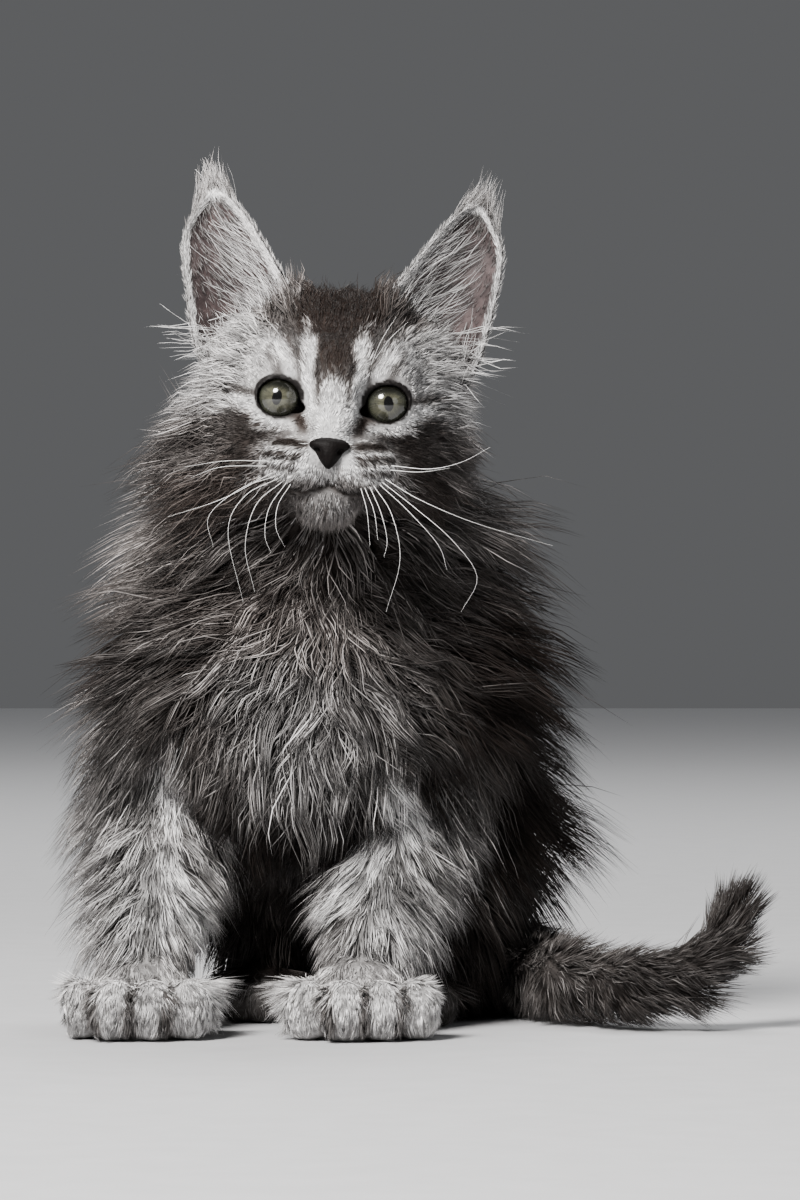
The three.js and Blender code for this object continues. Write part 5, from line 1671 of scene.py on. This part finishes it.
wires.from_pydata([tuple(p) for p in metres(np.concatenate(lines))], edges, [])
whiskers = into_scene("whiskers", wires)
store(whiskers, "taper", "FLOAT", np.tile(np.linspace(1, WHISKER_TIP, WHISKER_STEPS), len(WHISKERS)))
BRISTLE_DARK, BRISTLE_LIGHT = (0.72, 0.71, 0.69, 1), (0.9, 0.89, 0.87, 1)


def whisker_nodes(wire):
    return {"Base Color": object_place(wire).noise(300.0).tint(BRISTLE_DARK, BRISTLE_LIGHT)}


bristle_finish = finish_of("whisker_bristle", {"Roughness": 0.32, "Specular IOR Level": 0.5}, whisker_nodes)
tree = bpy.data.node_groups.new("bristles", "GeometryNodeTree")
for name, kind, way in (
    ("Geometry", "NodeSocketGeometry", "INPUT"),
    ("Thickness", "NodeSocketFloat", "INPUT"),
    ("Sides", "NodeSocketInt", "INPUT"),
    ("Geometry", "NodeSocketGeometry", "OUTPUT"),
):
    tree.interface.new_socket(name, in_out=way, socket_type=kind)
given, result = tree.nodes.new("NodeGroupInput"), tree.nodes.new("NodeGroupOutput")
to_curve = tree.nodes.new("GeometryNodeMeshToCurve")
taper = tree.nodes.new("GeometryNodeInputNamedAttribute")
taper.data_type = "FLOAT"
taper.inputs["Name"].default_value = "taper"
radius = tree.nodes.new("GeometryNodeSetCurveRadius")
ring = tree.nodes.new("GeometryNodeCurvePrimitiveCircle")
tube = tree.nodes.new("GeometryNodeCurveToMesh")
tube.inputs["Fill Caps"].default_value = True
real = tree.nodes.new("GeometryNodeRealizeInstances")
paint = tree.nodes.new("GeometryNodeSetMaterial")
paint.inputs["Material"].default_value = bristle_finish
for a, b in (
    (given.outputs["Geometry"], to_curve.inputs[0]),
    (to_curve.outputs[0], radius.inputs["Curve"]),
    (taper.outputs["Attribute"], radius.inputs["Radius"]),
    (given.outputs["Thickness"], ring.inputs["Radius"]),
    (given.outputs["Sides"], ring.inputs["Resolution"]),
    (radius.outputs[0], tube.inputs["Curve"]),
    (ring.outputs["Curve"], tube.inputs["Profile Curve"]),
    (tube.outputs[0], real.inputs[0]),
    (real.outputs[0], paint.inputs["Geometry"]),
    (paint.outputs[0], result.inputs[0]),
):
    tree.links.new(a, b)
if "Scale" in tube.inputs:
    tree.links.new(taper.outputs["Attribute"], tube.inputs["Scale"])
grown = whiskers.modifiers.new("bristles", "NODES")
grown.node_group = tree
sockets = {item.name: item.identifier for item in tree.interface.items_tree
           if item.item_type == "SOCKET" and item.in_out == "INPUT"}
grown[sockets["Thickness"]] = WHISKER_RADIUS
grown[sockets["Sides"]] = WHISKER_SIDES
bpy.context.view_layer.update()
made = bpy.data.meshes.new_from_object(whiskers.evaluated_get(bpy.context.evaluated_depsgraph_get()))
whiskers.modifiers.remove(grown)
whiskers.data = made
made.name = "whisker_bristles"
made.polygons.foreach_set("use_smooth", np.ones(len(made.polygons), bool))
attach(whiskers, "root")


# Camera and studio. A long lens at the height of the chest, a wide floor of pale paper under an even
# grey sky, and three soft lamps: a large one above and to the left in front, and two weak ones that
# open the shadows. The paper is painted paler with distance, painted light where the lamps hardly reach.
CAMERA_AT = (24.0, -1700.0, 132.0)
camera_data = bpy.data.cameras.new("camera")
camera_data.sensor_fit = "VERTICAL"
camera_data.sensor_height = 36.0
camera_data.sensor_width = 24.0
camera_data.lens = 165.0
camera_data.clip_start, camera_data.clip_end = 0.05, 20.0
camera = into_scene("camera", camera_data)
camera.location = metres(CAMERA_AT)
camera.rotation_euler = (math.radians(90), 0, 0)
bpy.context.scene.camera = camera

FLOOR_HALF = 5000.0
floor_points = FLOOR_HALF * np.array([(-1, -1, 0), (1, -1, 0), (1, 1, 0), (-1, 1, 0)])
# Painted light: the paper is painted paler with distance, so that the far floor, which the lamps hardly
# reach, meets the sky.
PAPER_NEAR, PAPER_FAR = (0.33, 0.33, 0.335, 1), (0.92, 0.93, 0.95, 1)
FADE_FROM, FADE_TO = 0.4, 2.6  # distances, in metres, over which the paper pales


def floor_nodes(wire):
    place = object_place(wire)
    distance = wire.add("ShaderNodeVectorMath", {"operation": "LENGTH"}, {0: place}, 1)
    mottle_and_far_light = 0.1 * place.noise(60.0, 3.0) + 0.9 * distance.between(FADE_FROM, FADE_TO)
    return {"Base Color": mottle_and_far_light.tint(PAPER_NEAR, PAPER_FAR)}


floor = mesh_object("floor", floor_points, [(0, 1, 2, 3)])
floor.data.materials.append(finish_of("studio_paper", {"Roughness": 0.8}, floor_nodes))


def lamp(name, at, aim, width, watts, colour):
    """A round soft lamp. Places and width are in metres, in the shared frame."""
    data = bpy.data.lights.new(name, "AREA")
    data.shape = "DISK"
    data.size, data.energy, data.color = width, watts, colour
    light = into_scene(name, data)
    light.location = at
    way = np.array(aim) - np.array(at)
    tilt = math.atan2(math.hypot(way[0], way[1]), -way[2])
    light.rotation_euler = (tilt, 0, math.atan2(-way[0], way[1]))


lamp("key", at=(-0.75, -1.25, 1.35), aim=(0, 0, 0.16), width=0.7, watts=140, colour=(1.0, 0.98, 0.96))
lamp("fill", at=(1.5, -1.2, 0.7), aim=(0, 0, 0.12), width=1.2, watts=5, colour=(0.95, 0.97, 1.0))
lamp("top", at=(0.2, 0.6, 1.6), aim=(0, 0, 0.1), width=1.0, watts=26, colour=(1.0, 1.0, 1.0))
SKY, SKY_STRENGTH = (0.60, 0.61, 0.63, 1), 0.19
world = bpy.data.worlds.new("studio")
world.use_nodes = True
sky = world.node_tree.nodes["Background"]
sky.inputs[0].default_value, sky.inputs[1].default_value = SKY, SKY_STRENGTH
bpy.context.scene.world = world
